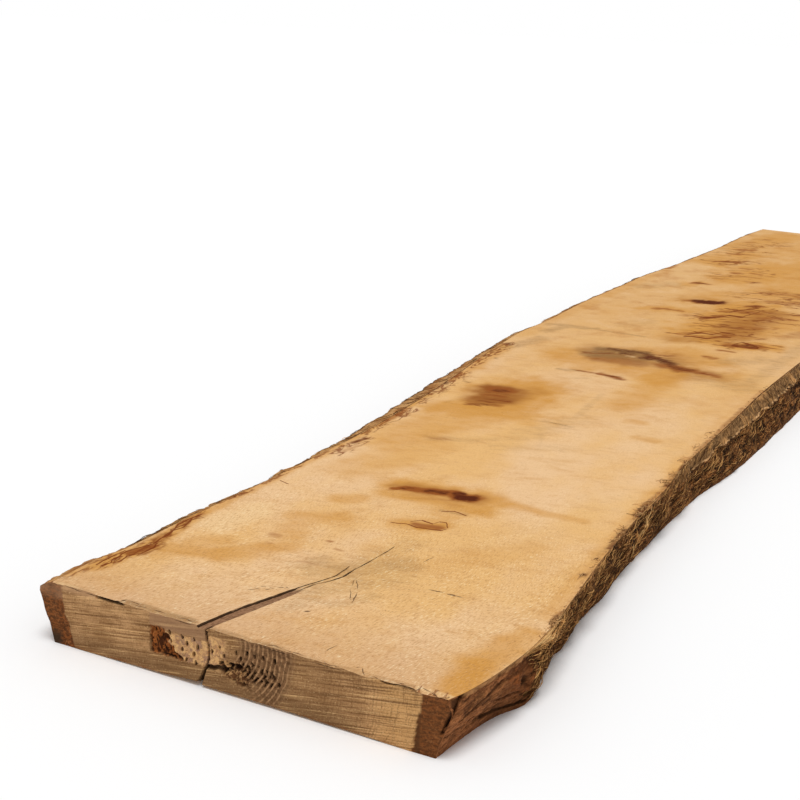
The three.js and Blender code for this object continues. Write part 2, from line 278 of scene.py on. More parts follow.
# How each kind of stain on the top is painted, in this order: its colour, the noise that frays its border,
# how much that noise counts, and the strengths at which the stain begins and is full
STAIN_LOOKS = {
    "amber": ((206, 147, 69), "patchy", 0.6, 0.05, 1.3),
    "haze": ((144, 84, 34), "patchy", 0.35, 0.05, 1.5),
    "smoke": ((130, 95, 56), "fine", 0.6, 0.1, 1.2),
    "rust": ((148, 82, 32), "fine", 0.7, 0.1, 1.1),
    "light": ((236, 199, 148), "patchy", 0.4, 0.1, 1.2),
    "umber": ((86, 34, 10), "frayed", 1.4, 0.05, 1.0),
}
# Stains on the top: (s, x, s, x, half width, strength), a patch round the line between two places. Scribble
# and contour say where crooked brown lines are drawn, along the board and across it
STAINS = {
    "amber": [
        (46, -176, 110, -166, 13, 1.0), (110, -168, 205, -174, 11, 1.0), (114, -160, 125, -104, 18, 0.8),
        (100, -146, 150, -124, 22, 0.6), (125, -104, 175, -66, 20, 0.8), (175, -66, 248, -86, 22, 0.6),
        (248, -92, 265, -57, 20, 0.7), (45, 12, 85, 60, 26, 0.35), (205, 64, 300, 122, 26, 0.45),
        (16, 186, 62, 180, 20, 1.1), (60, 180, 130, 194, 18, 0.8), (290, 16, 304, 32, 9, 1.5),
        (290, -2, 300, 20, 8, 1.0), (326, 14, 330, 36, 6, 0.7), (312, -86, 322, -70, 17, 0.75),
        (360, -50, 366, 44, 22, 0.9), (384, -56, 394, 40, 26, 1.0), (394, 40, 394, 60, 15, 0.9),
        (394, 54, 393, 142, 11, 0.75), (288, -4, 308, 30, 20, 0.8), (340, 14, 345, 38, 12, 0.6),
        (400, -120, 520, -90, 46, 0.55), (520, -130, 680, -100, 50, 0.7), (665, -140, 690, -60, 40, 1.0),
        (700, -100, 812, -90, 66, 1.1), (816, -94, 818, -66, 38, 0.9), (692, 104, 693, 120, 13, 0.7),
        (751, 70, 752, 88, 13, 0.7), (690, -130, 700, -10, 22, 0.4), (810, 40, 925, 46, 34, 0.7),
        (960, 40, 1040, 50, 34, 1.0), (985, -60, 1040, 30, 60, 0.8), (1020, -100, 1120, 40, 70, 0.8),
        (1040, 30, 1040, 110, 34, 0.8), (1245, -10, 1320, 50, 48, 0.8), (1240, 66, 1262, 120, 34, 1.0),
        (1290, 20, 1530, 30, 80, 1.1), (1330, 60, 1500, 120, 60, 0.8), (1420, -120, 1450, -56, 30, 0.8),
        (1530, -80, 1550, -36, 36, 0.8), (1600, -40, 1700, 60, 90, 0.7),
        (1340, -166, 1420, -146, 40, 0.4), (700, 10, 760, 50, 40, 0.3), (1690, -130, 1720, -90, 36, 0.7),
        (1790, -60, 1990, -20, 80, 0.9), (1950, -160, 2110, -120, 56, 0.8),
        (1700, 60, 2200, 60, 100, 0.8), (2180, -160, 2420, -110, 60, 0.8),
        (2200, -60, 2500, 60, 100, 0.6), (20, -184, 90, -180, 9, 0.6), (200, -176, 560, -178, 12, 0.8),
        (560, -184, 700, -190, 14, 0.9), (800, -198, 1010, -214, 22, 0.8),
        (1100, -220, 1700, -218, 18, 0.5), (170, 198, 300, 188, 12, 0.6), (300, 186, 620, 178, 12, 0.6),
        (620, 172, 1000, 170, 14, 0.5), (860, 140, 1000, 150, 40, 0.35),
    ],
    "smoke": [
        (150, -10, 194, 44, 30, 0.5), (110, 12, 180, 50, 28, 0.42), (80, -37, 100, -15, 7, 0.3),
        (196, 14, 250, 30, 22, 0.35), (70, 4, 100, 18, 14, 0.4), (96, 36, 124, 54, 12, 0.4),
        (300, 187, 640, 178, 5, 0.4), (1062, -82, 1066, -60, 6, 0.6), (1090, -44, 1095, -30, 7, 0.6),
        (2, -180, 2, -142, 3.5, 0.4), (4, -108, 4, -40, 6, 0.75), (1, 44, 3, 158, 4, 0.45),
        (341, 14, 344, 39, 5, 0.6), (544, -101, 564, -55, 12, 0.4), (566, -60, 600, -20, 14, 0.3),
        (676, -186, 754, -190, 12, 0.4), (934, -96, 944, -64, 6, 0.7), (905, -60, 912, -44, 12, 0.3),
        (1050, -86, 1060, -52, 26, 0.8), (1084, -88, 1096, -20, 18, 0.9), (1070, -30, 1075, 10, 22, 0.7),
        (1066, -84, 1070, 20, 36, 0.5), (1046, 20, 1040, 110, 26, 0.4), (1020, 90, 1000, 140, 40, 0.4),
        (1006, -206, 1096, -184, 18, 0.45), (1140, -200, 1182, -188, 14, 0.5),
        (1193, -212, 1208, -140, 12, 0.55), (1208, -140, 1204, -60, 6, 0.55),
        (688, -18, 685, 20, 4, 0.45), (718, 10, 844, 1, 7, 0.35), (659, -10, 593, 16, 5, 0.35),
        (560, -20, 600, 40, 24, 0.3), (620, -20, 720, 20, 28, 0.3), (686, -151, 732, -148, 5, 0.3),
        (0, -22, 1, 44, 6, 0.6), (1260, -110, 1320, -90, 24, 0.3), (1000, 150, 1500, 176, 16, 0.4),
        (640, 177, 900, 175, 5, 0.5), (1130, 90, 1180, 140, 26, 0.4), (1600, -190, 1660, -150, 30, 0.4),
    ],
    "rust": [
        (84, -170, 110, -163, 6, 0.9), (120, -170, 140, -168, 5, 0.7), (166, -176, 199, -174, 5, 0.6),
        (434, -160, 471, -155, 4, 0.5), (474, -166, 500, -160, 5, 0.7), (520, -182, 560, -176, 7, 0.5),
        (560, -176, 625, -177, 7, 0.7), (742, -206, 824, -197, 9, 0.7), (676, -192, 750, -196, 6, 0.4),
        (876, -215, 920, -209, 7, 0.7), (369, -56, 380, -42, 5, 1.2), (378, -44, 384, -19, 8, 1.3),
        (383, -24, 392, 8, 10, 1.3), (387, 8, 388, 22, 13, 1.2), (392, 22, 396, 32, 6, 0.7),
        (364, -34, 366, 20, 9, 0.4), (292, 10, 298, 32, 8, 0.9), (192, -89, 193, -84, 7, 0.6),
        (174, -80, 174, -79, 4, 0.5), (153, -36, 156, -18, 3.5, 0.5), (196, -21, 196, -18, 4, 0.7),
        (210, -38, 210, -36, 4, 0.8), (544, -101, 552, -80, 6, 0.5), (780, -122, 786, -110, 16, 1.1),
        (750, -124, 756, -104, 10, 0.7), (704, -126, 715, -90, 8, 0.6), (943, -68, 946, -38, 6, 0.8),
        (946, -38, 937, -2, 8, 1.0), (751, 74, 751, 86, 9, 0.25), (692, 107, 693, 118, 8, 0.25),
        (1050, 24, 1044, 56, 20, 0.9), (1044, 52, 1038, 102, 13, 0.8), (1196, 64, 1198, 80, 9, 0.9),
        (1138, 56, 1140, 68, 9, 0.8), (1242, 68, 1256, 110, 18, 0.8), (1256, -17, 1262, 26, 10, 0.7),
        (1262, 26, 1300, 52, 9, 0.7), (1306, 10, 1311, 52, 9, 0.7), (1270, -18, 1306, 12, 8, 0.6),
        (1406, -24, 1432, -4, 11, 0.8), (1484, -2, 1508, 42, 18, 0.7), (1555, 18, 1565, 32, 14, 0.8),
        (1425, -112, 1441, -66, 9, 0.8), (1400, -62, 1404, -40, 7, 0.6), (1524, -94, 1526, -86, 9, 0.8),
        (1530, -72, 1545, -40, 20, 1.0), (1701, -120, 1710, -100, 14, 0.9),
        (1782, -34, 1788, -24, 12, 0.7), (1862, -88, 1868, -78, 11, 0.8), (1875, -54, 1876, -42, 12, 0.7),
        (1925, -86, 1925, -74, 12, 0.7), (1966, -150, 1990, -116, 15, 0.8),
        (2086, -154, 2094, -140, 14, 0.8), (2280, -166, 2280, -156, 14, 0.7),
        (2152, -150, 2174, -126, 14, 0.8), (1812, -214, 1864, -210, 10, 0.7),
        (1350, 120, 1420, 168, 20, 0.5), (1620, 40, 1640, 90, 22, 0.6), (1700, 20, 1720, 90, 24, 0.55),
        (2000, 30, 2030, 90, 26, 0.5), (2240, 0, 2260, 60, 26, 0.5), (1470, 60, 1490, 110, 12, 0.7),
        (1380, 50, 1400, 100, 10, 0.6), (200, 202, 300, 191, 4, 0.35), (300, 191, 420, 186, 4, 0.4),
        (430, 184, 560, 182, 5, 0.55), (560, 181, 640, 178, 5, 0.5), (164, 204, 190, 204, 5, 0.6),
        (640, 176, 1000, 174, 5, 0.5),
    ],
    "light": [
        (20, -60, 80, -130, 40, 0.3), (186, -146, 236, -134, 26, 0.8), (120, 90, 300, 20, 50, 0.25),
        (1078, -62, 1066, -22, 2, 0.7), (1274, -2, 1296, 34, 9, 0.35), (1600, -110, 1680, -80, 40, 0.45),
        (1100, -200, 1400, -190, 40, 0.2), (1640, -170, 1900, -170, 40, 0.4),
        (1700, -80, 1760, -20, 30, 0.4), (1490, 4, 1504, 38, 7, 0.3), (560, 40, 800, 140, 50, 0.3),
        (850, 110, 960, 110, 40, 0.3), (300, 100, 480, 150, 40, 0.35), (930, -20, 930, 20, 12, 0.4),
        (640, 60, 680, 150, 50, 0.3), (4, 160, 5, 188, 3.5, 0.7), (1, -178, 2, -160, 3, 0.6),
    ],
    "umber": [
        (373, -50, 381, -40, 3, 0.6), (383, -24, 388, -6, 5, 0.8), (386, 13, 388, 22, 9, 1.2),
        (394, 5, 397, 9, 6, 0.8), (705, -118, 714, -98, 5, 0.4), (778, -119, 784, -112, 9, 0.6),
        (946, -30, 938, -6, 5, 0.6), (1085, -10, 1068, 26, 12, 0.8), (1094, -76, 1100, -24, 10, 0.6),
        (1048, 32, 1045, 60, 10, 0.6), (1247, 78, 1254, 100, 9, 0.6), (1536, -66, 1545, -42, 19, 1.2),
        (1064, -78, 1067, -64, 5, 0.5), (1078, -52, 1082, -38, 7, 0.7), (1073, -20, 1070, -6, 7, 0.7),
        (1410, -20, 1428, -6, 6, 0.35), (1556, 20, 1564, 30, 9, 0.55), (1704, -116, 1709, -105, 8, 0.55),
        (1784, -30, 1788, -26, 8, 0.5), (1974, -142, 1986, -126, 8, 0.4), (768, -196, 770, -194, 9, 0.9),
        (474, -166, 500, -161, 4, 0.6), (84, -170, 104, -164, 5, 0.35), (164, 203, 186, 204, 4, 0.7),
        (268, 190, 272, 191, 4, 0.7), (440, 184, 480, 183, 5, 0.8), (547, 183, 551, 184, 7, 0.8),
        (1027, -214, 1027, -212, 8, 0.8), (940, -211, 940, -209, 7, 0.7), (932, -192, 932, -190, 5, 0.6),
        (967, -217, 967, -216, 7, 0.7), (790, -171, 790, -169, 5, 0.6), (600, 180, 640, 177, 4, 0.8),
        (340, 188, 400, 185, 3.5, 0.6),
    ],
    "scribble": [
        (46, -178, 113, -166, 14, 0.6), (113, -168, 199, -174, 10, 0.5), (210, -178, 430, -176, 7, 0.8),
        (434, -162, 500, -160, 9, 0.8), (520, -180, 630, -176, 14, 1.0), (675, -190, 830, -198, 20, 0.8),
        (870, -212, 1030, -212, 16, 0.8), (4, 162, 5, 190, 5, 1.0), (10, -182, 40, -180, 6, 0.5),
    ],
    "contour": [
        (1270, 0, 1310, 60, 44, 1.0), (1400, 20, 1560, 90, 80, 1.0), (1240, 70, 1260, 120, 30, 0.8),
        (1040, 30, 1040, 90, 20, 0.6), (1960, -150, 2000, -110, 40, 0.7),
        (2080, -150, 2300, -120, 60, 0.6), (1800, -100, 1930, -40, 60, 0.5),
        (700, -120, 740, -96, 14, 0.8), (940, -60, 940, -10, 12, 0.5), (1650, 0, 1720, 80, 60, 0.6),
        (1050, -80, 1092, -10, 34, 0.7), (760, -122, 790, -110, 26, 0.5),
    ],
    "haze": [
        (784, -123, 788, -112, 25, 1.5), (764, -122, 774, -100, 34, 1.0), (726, -124, 744, -96, 26, 1.2),
        (796, -90, 804, -80, 26, 0.5), (1026, -66, 1040, -20, 26, 1.0), (1080, -90, 1090, 20, 46, 0.6),
        (1044, 0, 1040, 60, 18, 0.7), (1000, 60, 1030, 110, 26, 0.4), (1221, -16, 1230, 10, 26, 0.6),
        (1300, 50, 1520, 60, 46, 0.8), (1420, 0, 1480, 60, 36, 0.6), (1540, -80, 1550, -40, 36, 0.5),
        (384, -40, 390, 30, 17, 0.7), (378, -60, 380, -30, 10, 0.7), (90, -168, 110, -160, 10, 0.5),
        (1100, -40, 1040, 90, 26, 0.4),
    ],
}
# Fine dark marks on the top: (s, x, s, x, half width), each a thin line between two places
MARKS = [
    (0, 160, 7, 162, 0.9), (7, 162, 5.5, 172, 0.8), (5.5, 172, 0.5, 178, 0.9), (0.5, 178, 7, 186, 0.9),
    (8, 104.5, 10, 110, 0.6), (10, 110, 1.5, 118, 0.7), (3, 25, 4, 44, 0.8), (4, 44, 2, 66, 0.9),
    (4, -82, 4.5, -67, 0.7), (165, 88, 165.5, 104, 1.4), (166, 106, 166, 113, 2.6), (166, 113, 167, 121, 1),
    (102, 48, 128, 40, 0.8), (128, 40, 151, 25, 0.7), (106, 45, 130, 31, 0.6), (130, 31, 151, 24, 0.5),
    (69, 22, 72, 26, 1.8), (14, 73, 34, 76, 0.7), (212, 57, 232, 60, 0.6), (688, -18, 685, 20, 0.9),
    (86, -27, 91, -24, 0.8), (93, -27, 93, -22, 0.6), (97, -21, 98, -15, 0.8), (101, -16, 100, -11, 0.6),
    (79, -40, 83, -34, 0.7), (85, -38, 84, -31, 0.6), (90, -34, 94, -30, 0.7),
    (1, -176, 0.5, -140, 0.8), (7, -109, 4, -92, 0.7),
    (-1, 66, 2, 100, 0.7), (1.5, 120, 0.5, 134, 0.7), (2, -100, 4, -84, 0.6), (3, -60, 5, -36, 0.6),
]
# Red-brown lines beside the left border, each a half width and (s, x) places, and others that run across
# the board, each a half width and (x, s) places
BORDER_LINES = [
    (1.2, [(48, -177), (63, -178), (67, -172), (87, -175), (99, -171), (113, -166)]),
    (1.4, [(113, -166), (125, -168), (139, -168), (164, -176), (179, -176), (198, -174)]),
    (1.3, [(48, -173), (58, -170), (66, -165), (79, -168), (90, -161), (107, -160), (117, -165)]),
    (1.2, [(131, -169), (149, -171), (160, -168), (181, -173), (192, -167)]),
    (1.1, [(59, -170), (69, -174), (76, -171)]),
    (1.0, [(58, -177), (72, -178), (88, -177)]),
    (1.0, [(142, -168), (150, -174), (170, -171), (186, -175)]),
    (1.4, [(254, -175), (263, -177), (274, -172)]),
]
CROSS_LINES = [
    (1.3, [(-12, 283), (1, 289), (15, 286), (30, 290), (37, 292), (40, 299)]),
    (1.5, [(2, 297), (10, 306), (23, 303), (26, 312), (32, 314), (40, 302)]),
    (1.5, [(15, 338), (25, 346), (41, 342)]),
    (1.2, [(-164, 322), (-151, 318)]),
    (5, [(-10, 1250), (-8, 1268), (6, 1291), (26, 1293), (34, 1317), (55, 1319)]),
    (5, [(-9, 1250), (5, 1258), (26, 1258), (39, 1284), (55, 1290)]),
    (7, [(-28, 1409), (-4, 1422), (9, 1455), (30, 1457), (40, 1496), (46, 1520)]),
    (7, [(2, 1481), (20, 1519), (38, 1554)]),
    (5, [(70, 1248), (79, 1269), (96, 1262), (110, 1249)]),
    (6, [(70, 1240), (81, 1235), (95, 1241), (110, 1246)]),
]


def smooth(value, low, high):
    """0 below low and 1 above high, with a soft S between."""
    t = np.clip((value - low) / (high - low), 0, 1)
    return t * t * (3 - 2 * t)


def between(value, low, full, falling, high):
    """1 from full to falling and 0 below low and above high, with a soft S on both sides."""
    return smooth(value, low, full) * (1 - smooth(value, falling, high))


def mix(a, b, share):
    """a where the share is 0, b where it is 1, and straight between them."""
    return a + (b - a) * share


def curve(points):
    """A smooth line through (place, value) points: cubic pieces whose slopes come from the neighbours."""
    at, value = np.array(points, float).T
    number = np.arange(len(at))
    before = np.maximum(number - 1, 0)
    after = np.minimum(number + 1, len(at) - 1)
    slope = (value[after] - value[before]) / (at[after] - at[before])

    def follow(place):
        i = np.clip(np.searchsorted(at, place) - 1, 0, len(at) - 2)
        step = at[i + 1] - at[i]
        t = np.clip((place - at[i]) / step, 0, 1)
        t2, t3 = t**2, t**3
        start = (2 * t3 - 3 * t2 + 1) * value[i] + (t3 - 2 * t2 + t) * step * slope[i]
        end = (3 * t2 - 2 * t3) * value[i + 1] + (t3 - t2) * step * slope[i + 1]
        return start + end

    return follow


def scatter(i, j):
    """A scattered number from 0 to 1 for each whole-number place."""
    value = np.sin(i * 127.1 + j * 311.7) * 43758.5453
    return value - np.floor(value)


def hills(u, v):
    """Smooth hills and hollows from -1 to 1, one for each unit of u and v."""
    i, j = np.floor(u), np.floor(v)
    a, b = smooth(u - i, 0, 1), smooth(v - j, 0, 1)
    low = mix(scatter(i, j), scatter(i + 1, j), a)
    high = mix(scatter(i, j + 1), scatter(i + 1, j + 1), a)
    return 2 * mix(low, high, b) - 1


def rough(u, v, octaves):
    """Hills with finer and lower ones on them: each octave is half as wide and half as high."""
    return sum(hills(u * 2**k + 17.3 * k, v * 2**k - 9.1 * k) / 2**k for k in range(octaves))


def ridges(u, v, octaves):
    """Sharp crests from 0 to 1 where smooth hills pass through zero."""
    total = sum((1 - np.abs(hills(u * 2**k + 31 * k, v * 2**k + 13 * k))) / 2**k for k in range(octaves))
    return total / (2 - 2 ** (1 - octaves))


def from_line(u, v, line):
    """Distance of each place from the straight line between two places, (u, v, u, v)."""
    u0, v0, u1, v1 = line
    du, dv = u1 - u0, v1 - v0
    share = np.clip(((u - u0) * du + (v - v0) * dv) / (du**2 + dv**2), 0, 1)
    return np.hypot(u - u0 - share * du, v - v0 - share * dv)


def stain_field(rows, s, x):
    """How strongly the stains reach each place: their strength on the middle line, and 0 past the border.

    The distance from the line is taken at a place moved by rough noise, so that the border wanders.
    """
    field = np.zeros(np.broadcast(s, x).shape)
    wander = rough(s / 40, x / 15, 3), rough(s / 23 + 9, x / 23 + 5, 3)
    waves = 5 * smooth(s, 900, 1400)
    for *line, half, strength in rows:
        away = from_line(s + (0.2 * half + waves) * wander[0], x + 0.2 * half * wander[1], line)
        reach = away / half
        field = np.maximum(field, strength * smooth(1.5 - reach, 0, 1.2))
    return field


left_edge, right_top, right_foot, right_ledge = map(curve, (LEFT_EDGE, RIGHT_TOP, RIGHT_FOOT, RIGHT_LEDGE))
left_wane, smooth_bark, crack_guide = map(curve, (LEFT_WANE, SMOOTH_BARK, CRACK_GUIDE))
left_lip, right_lip, hairline = map(curve, (LEFT_LIP, RIGHT_LIP, HAIRLINE))


def top_height(x):
    """z of the sawn top, which is a plane."""
    return THICKNESS - TOP_SLOPE * x


def foot_height(x, s):
    """The flat underside, lifted into a cup towards the near end, most beside the crack."""
    away = np.clip(1 - s / CUP_REACH, 0, 1)
    cup = np.maximum(0, 1 - (x / CUP_HALF_WIDTH) ** 2) * CUP_LIFT
    lip = np.where(x <= LIP_X, np.maximum(0, 1 + (x - LIP_X) / LIP_WIDTH) ** 2 * LIP_LIFT, 0)
    return (cup + lip) * away**2


def bark_relief(s, drop, side):
    """The solid's own lumps and ridges: two sizes of hills, faded out towards the sawn top and the foot."""
    start = side * 40
    along, up, out = BARK_LUMP
    lump = hills(s / along + start, drop / up + start) * out
    along, up, out = BARK_RIDGE
    ridge = hills(s / along + start, drop / up + start) * out
    steady = np.minimum(1, drop / LEDGE_DROP) * (1 - 0.7 * smooth(drop, 34, 50))
    return (lump + ridge) * steady * (smooth_bark(s) if side > 0 else 1)


def left_side(s, drop):
    """x of the left side face: wane, shoulder, belly, and in again to the foot, with the bark's relief."""
    edge = left_edge(s)
    depths = (0, SHOULDER_DROP, LEDGE_DROP, THICKNESS)
    values = (edge + left_wane(s), edge - LEFT_SHOULDER, edge - LEFT_BELLY, edge + LEFT_UNDERCUT)
    shares = [curve([(d, float(d == own)) for d in depths])(drop) for own in depths]
    return sum(share * value for share, value in zip(shares, values)) - bark_relief(s, drop, -1)


def right_side(s, drop):
    """x of the right side face: wane down to the ledge, then bark to the foot, with the bark's relief."""
    ledge = right_top(s) + right_ledge(s)
    wane = mix(right_top(s), ledge, np.minimum(1, drop / LEDGE_DROP) ** 0.8)
    below = smooth(drop, LEDGE_DROP, THICKNESS)
    return mix(wane, right_foot(s), below) + bark_relief(s, drop, 1)


def side_face(s, drop, side):
    """x of a side face, the right one where side is 1 and the left one where it is -1."""
    return right_side(s, drop) if side > 0 else left_side(s, drop)


def top_border(s, side):
    """x of the top's own border, where the bark starts."""
    return right_top(s) if side > 0 else left_side(s, 0 * s)


def side_height(border, drop):
    """z of a side face at a drop: straight down, and then to the underside, as on the solid."""
    top = top_height(border)
    share = (drop - FOOT_DROP) / (THICKNESS - FOOT_DROP)
    return np.where(drop < FOOT_DROP, top - drop, (top - FOOT_DROP) * (1 - share))


def to_metres(x, s, z):
    """Board millimetres to the frame's metres, one row for each point."""
    points = np.stack(np.broadcast_arrays(x - BOX_MIDDLE, s - LENGTH / 2, z), -1)
    return points.reshape(-1, 3) / 1000


def grid_triangles(number, closed=False):
    """Two triangles for each cell of a grid of point numbers. Closed joins its last column to its first."""
    if closed:
        number = np.concatenate([number, number[:, :1]], 1)
    a, b, c, d = number[:-1, :-1], number[:-1, 1:], number[1:, 1:], number[1:, :-1]
    halves = [np.stack(corners, -1).reshape(-1, 3) for corners in ((a, b, c), (a, c, d))]
    return np.concatenate(halves)


def seam_triangles(outer, outer_at, inner, inner_at):
    """Triangles between two closed loops of points, each point given by its share of the way round.

    An edge of one loop is joined to the last point of the other loop that comes before the edge ends.
    """
    outer, inner = np.append(outer, outer[0]), np.append(inner, inner[0])
    outer_at, inner_at = np.append(outer_at, 1), np.append(inner_at, 1)
    facing = inner[np.searchsorted(inner_at, outer_at[1:], side="left") - 1]
    first = np.stack([outer[:-1], outer[1:], facing], -1)
    facing = outer[np.searchsorted(outer_at, inner_at[1:], side="right") - 1]
    second = np.stack([inner[:-1], facing, inner[1:]], -1)
    return np.concatenate([first, second])


def make_piece(name, points, groups, materials, masks=None, sharp=None):
    """One closed mesh. groups holds (triangles, material number) pairs; masks are values at the points."""
    triangles = np.concatenate([group for group, _ in groups])
    kind = np.concatenate([np.full(len(group), number) for group, number in groups])
    a, b, c = (points[triangles[:, k]] for k in range(3))
    if np.einsum("ij,ij->i", a, np.cross(b, c)).sum() < 0:
        triangles = triangles[:, ::-1]
    mesh = bpy.data.meshes.new(name)
    mesh.vertices.add(len(points))
    mesh.vertices.foreach_set("co", points.astype(np.float32).ravel())
    mesh.loops.add(triangles.size)
    mesh.loops.foreach_set("vertex_index", triangles.astype(np.int32).ravel())
    mesh.polygons.add(len(triangles))
    mesh.polygons.foreach_set("loop_start", np.arange(0, triangles.size, 3, dtype=np.int32))
    mesh.polygons.foreach_set("material_index", kind.astype(np.int32))
    for material in materials:
        mesh.materials.append(material)
    for mask, values in (masks or {}).items():
        layer = mesh.attributes.new(mask, "FLOAT", "POINT")
        layer.data.foreach_set("value", np.ascontiguousarray(values, np.float32).ravel())
    mesh.update(calc_edges=True)
    mesh.validate()
    mesh.shade_smooth()
    if sharp:
        mesh.set_sharp_from_angle(angle=math.radians(sharp))
    piece = bpy.data.objects.new(name, mesh)
    bpy.context.collection.objects.link(piece)
    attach(piece, BODY)
    return piece


def groove(offset, half_width):
    """1 in the middle of a groove and 0 outside it."""
    return 1 - smooth(np.abs(offset), half_width * 0.4, half_width)


def crack_relief(x, s):
    """Depth of the crack below the top, and how much of each place is the sunk strip between its lips.

    A narrow slot runs down the left lip, a strip sunk by a millimetre or two lies right of it, and a thinner
    slot runs down the right lip. Past them two thin grooves go on and end in a hairline.
    """
    a, b = x - left_lip(s), right_lip(s) - x
    near = 1 - smooth(s, STRIP_END - 10, STRIP_END)
    inside = smooth(a, 0, 0.5) * smooth(b, -0.3, 0.3) * near
    strip = mix(*STRIP_DEPTH, smooth(a, 1, 11)) + 0.25 * hills(s / 9, x / 1.3)
    slot = groove(a - 0.5, LEFT_SLOT[0])
    slot_left = LEFT_SLOT[1] * slot * (1 - smooth(s, 80, LEFT_SLOT_END))
    slot_left = slot_left + LEFT_SLOT_TAIL * slot * (s < LEFT_SLOT_END)
    slot_left = slot_left * smooth(LEFT_SLOT_END + 2 - s, 0, 6)
    slot_right = RIGHT_SLOT[1] * groove(b - 0.3, RIGHT_SLOT[0]) * near
    wobble = 0.5 * hills(s / 7, 3.1)
    hair_half = mix(*HAIRLINE_HALF, smooth(s, 130, 200))
    hair = mix(*HAIRLINE_DEPTH, smooth(s, 120, 225)) * groove(x - hairline(s) - wobble, hair_half)
    first, last = HAIRLINE_SPAN
    hair = hair * between(s, first, first + 6, last - 8, last)
    return np.maximum.reduce([inside * strip, slot_left, slot_right, hair]), inside


def along_splinter(x):
    """1 along the long splinter of the near arris, and 0 past its ends."""
    return between(x, SPLINTER[0] - 3, SPLINTER[0], SPLINTER[1], SPLINTER[1] + 3)


def arris_wear(x, s):
    """How much the top's near arris has lost: small chips, none on the splinter, and a flake at the right."""
    chips = 0.9 * smooth(rough(x / 8, s / 5, 3), 0.1, 0.9) * (1 - smooth(s, 2, 8))
    flake = between(x, FLAKE[0], FLAKE[0] + 4, FLAKE[1] - 5, FLAKE[1]) * (1 - smooth(s, 3, 8))
    return chips * (1 - along_splinter(x)) + flake * (0.8 + 0.7 * rough(x / 4, s / 3, 3))


def face_line(place, points):
    """Straight lines through (place, value) points, for outlines on the near end."""
    at, value = np.array(sorted(points), float).T
    return np.interp(place, at, value)


def end_zones(x, z):
    """Which kind of wood shows at each place of the near end: a dict of masks from 0 to 1."""
    u = x + 1.2 * rough(x / 5, z / 5, 3)
    v = z + 0.8 * rough(z / 4, x / 4 + 40, 3)
    ring = np.hypot(x - RING_CENTRE[0], z - RING_CENTRE[1])
    turn = np.degrees(np.arctan2(z - RING_CENTRE[1], x - RING_CENTRE[0]))
    low = between(v, 17.5, 19, 40, 43)
    left = smooth(x, DECAY_LEFT, DECAY_LEFT + 0.8)
    rot_right = face_line(z, ROT_RIGHT)
    rot = left * low * (1 - smooth(u, rot_right - 0.8, rot_right + 0.8))
    pale_top = face_line(x, PALE_TOP)
    pale = left * smooth(v, 18, 20) * (1 - smooth(v, pale_top - 1, pale_top + 1)) * (1 - smooth(u, -12, -4))
    crumb_foot = face_line(x, CRUMB_FOOT)
    crumb = between(u, -14, -10, 10, 20) * between(v, crumb_foot - 1, crumb_foot + 2, 26, 32)
    rings = between(ring, 16, 30, 66, 78) * between(turn, -66, -30, 12, 20)
    mauve = left * smooth(v, 40, 43) * (1 - smooth(u, -28, -22))
    left_bark = 1 - smooth(u, face_line(z, LEFT_BARK) - 0.7, face_line(z, LEFT_BARK) + 0.7)
    right_bark = smooth(u, face_line(z, RIGHT_BARK) - 0.7, face_line(z, RIGHT_BARK) + 0.7)
    return {
        "rot": rot, "pale_wood": pale * (1 - rot), "crumb": crumb, "rings": rings, "ring": ring,
        "mauve": mauve, "end_bark": np.maximum(left_bark, right_bark),
    }


def insect_holes(x, z):
    """1 in the insect holes and 0 outside: upright ovals, each leaning its own way."""
    hole = np.zeros_like(x)
    for number, (hx, hz) in enumerate(INSECT_HOLES):
        lean = math.radians(25 * (scatter(number, 3) - 0.5))
        across = (x - hx) * math.cos(lean) + (z - hz) * math.sin(lean)
        along = (z - hz) * math.cos(lean) - (x - hx) * math.sin(lean)
        size = 0.85 + 0.5 * scatter(number, 7)
        reach = np.hypot(across / (HOLE_SIZE[0] * size), along / (HOLE_SIZE[1] * size))
        hole = np.maximum(hole, 1 - smooth(reach, 0.55, 1.1))
    return hole


def face_crack(x, z):
    """Two masks: the crack down the near end, and its short branch."""
    crack_z, crack_x, crack_half = np.array(CRACK_FACE).T
    middle = np.interp(z, crack_z, crack_x) + 0.4 * hills(z / 3, 1.7)
    crack = groove(x - middle, np.interp(z, crack_z, crack_half) + 0.35)
    return crack, groove(from_line(x, z + 0.8 * hills(x / 3, 6), CRACK_BRANCH), BRANCH_HALF)


def decay_relief(x, z, zones):
    """Depths of the rot, the pale soft wood and the crumbled patch: each is rough where its mask is 1."""
    rot = zones["rot"] * (2.2 + 1.5 * rough(x / 6, z / 3, 4) + 1.2 * ridges(x / 7, z / 2.4, 2))
    pale = zones["pale_wood"] * (0.8 + 1.1 * rough(x / 4, z / 7, 4))
    crumb = zones["crumb"] * np.maximum(0, 2.2 + 3.8 * rough(x / 4.4, z / 4.4, 4))
    return rot, pale, crumb


def weathered_rings(x, z, zones):
    """A wave from 0 to 1 and back over each growth ring, and how much of the wood at its top is lost.

    It is lost in a cluster right of the crack, and a tenth as much elsewhere.
    """
    ring = zones["ring"] + 0.8 * rough(x / 9, z / 9, 2)
    ridge = 0.5 - 0.5 * np.cos(2 * np.pi * ring / RING_STEP)
    cluster = between(x, 0, 7, 32, 44) * between(z, 15, 19, 30, 35)
    lost = 0.1 + 0.9 * smooth(rough(x / 2.6, z / 3, 3), -0.4, 0.1) * cluster
    return ridge, zones["rings"] * smooth(ridge, 0.4, 0.85) * lost


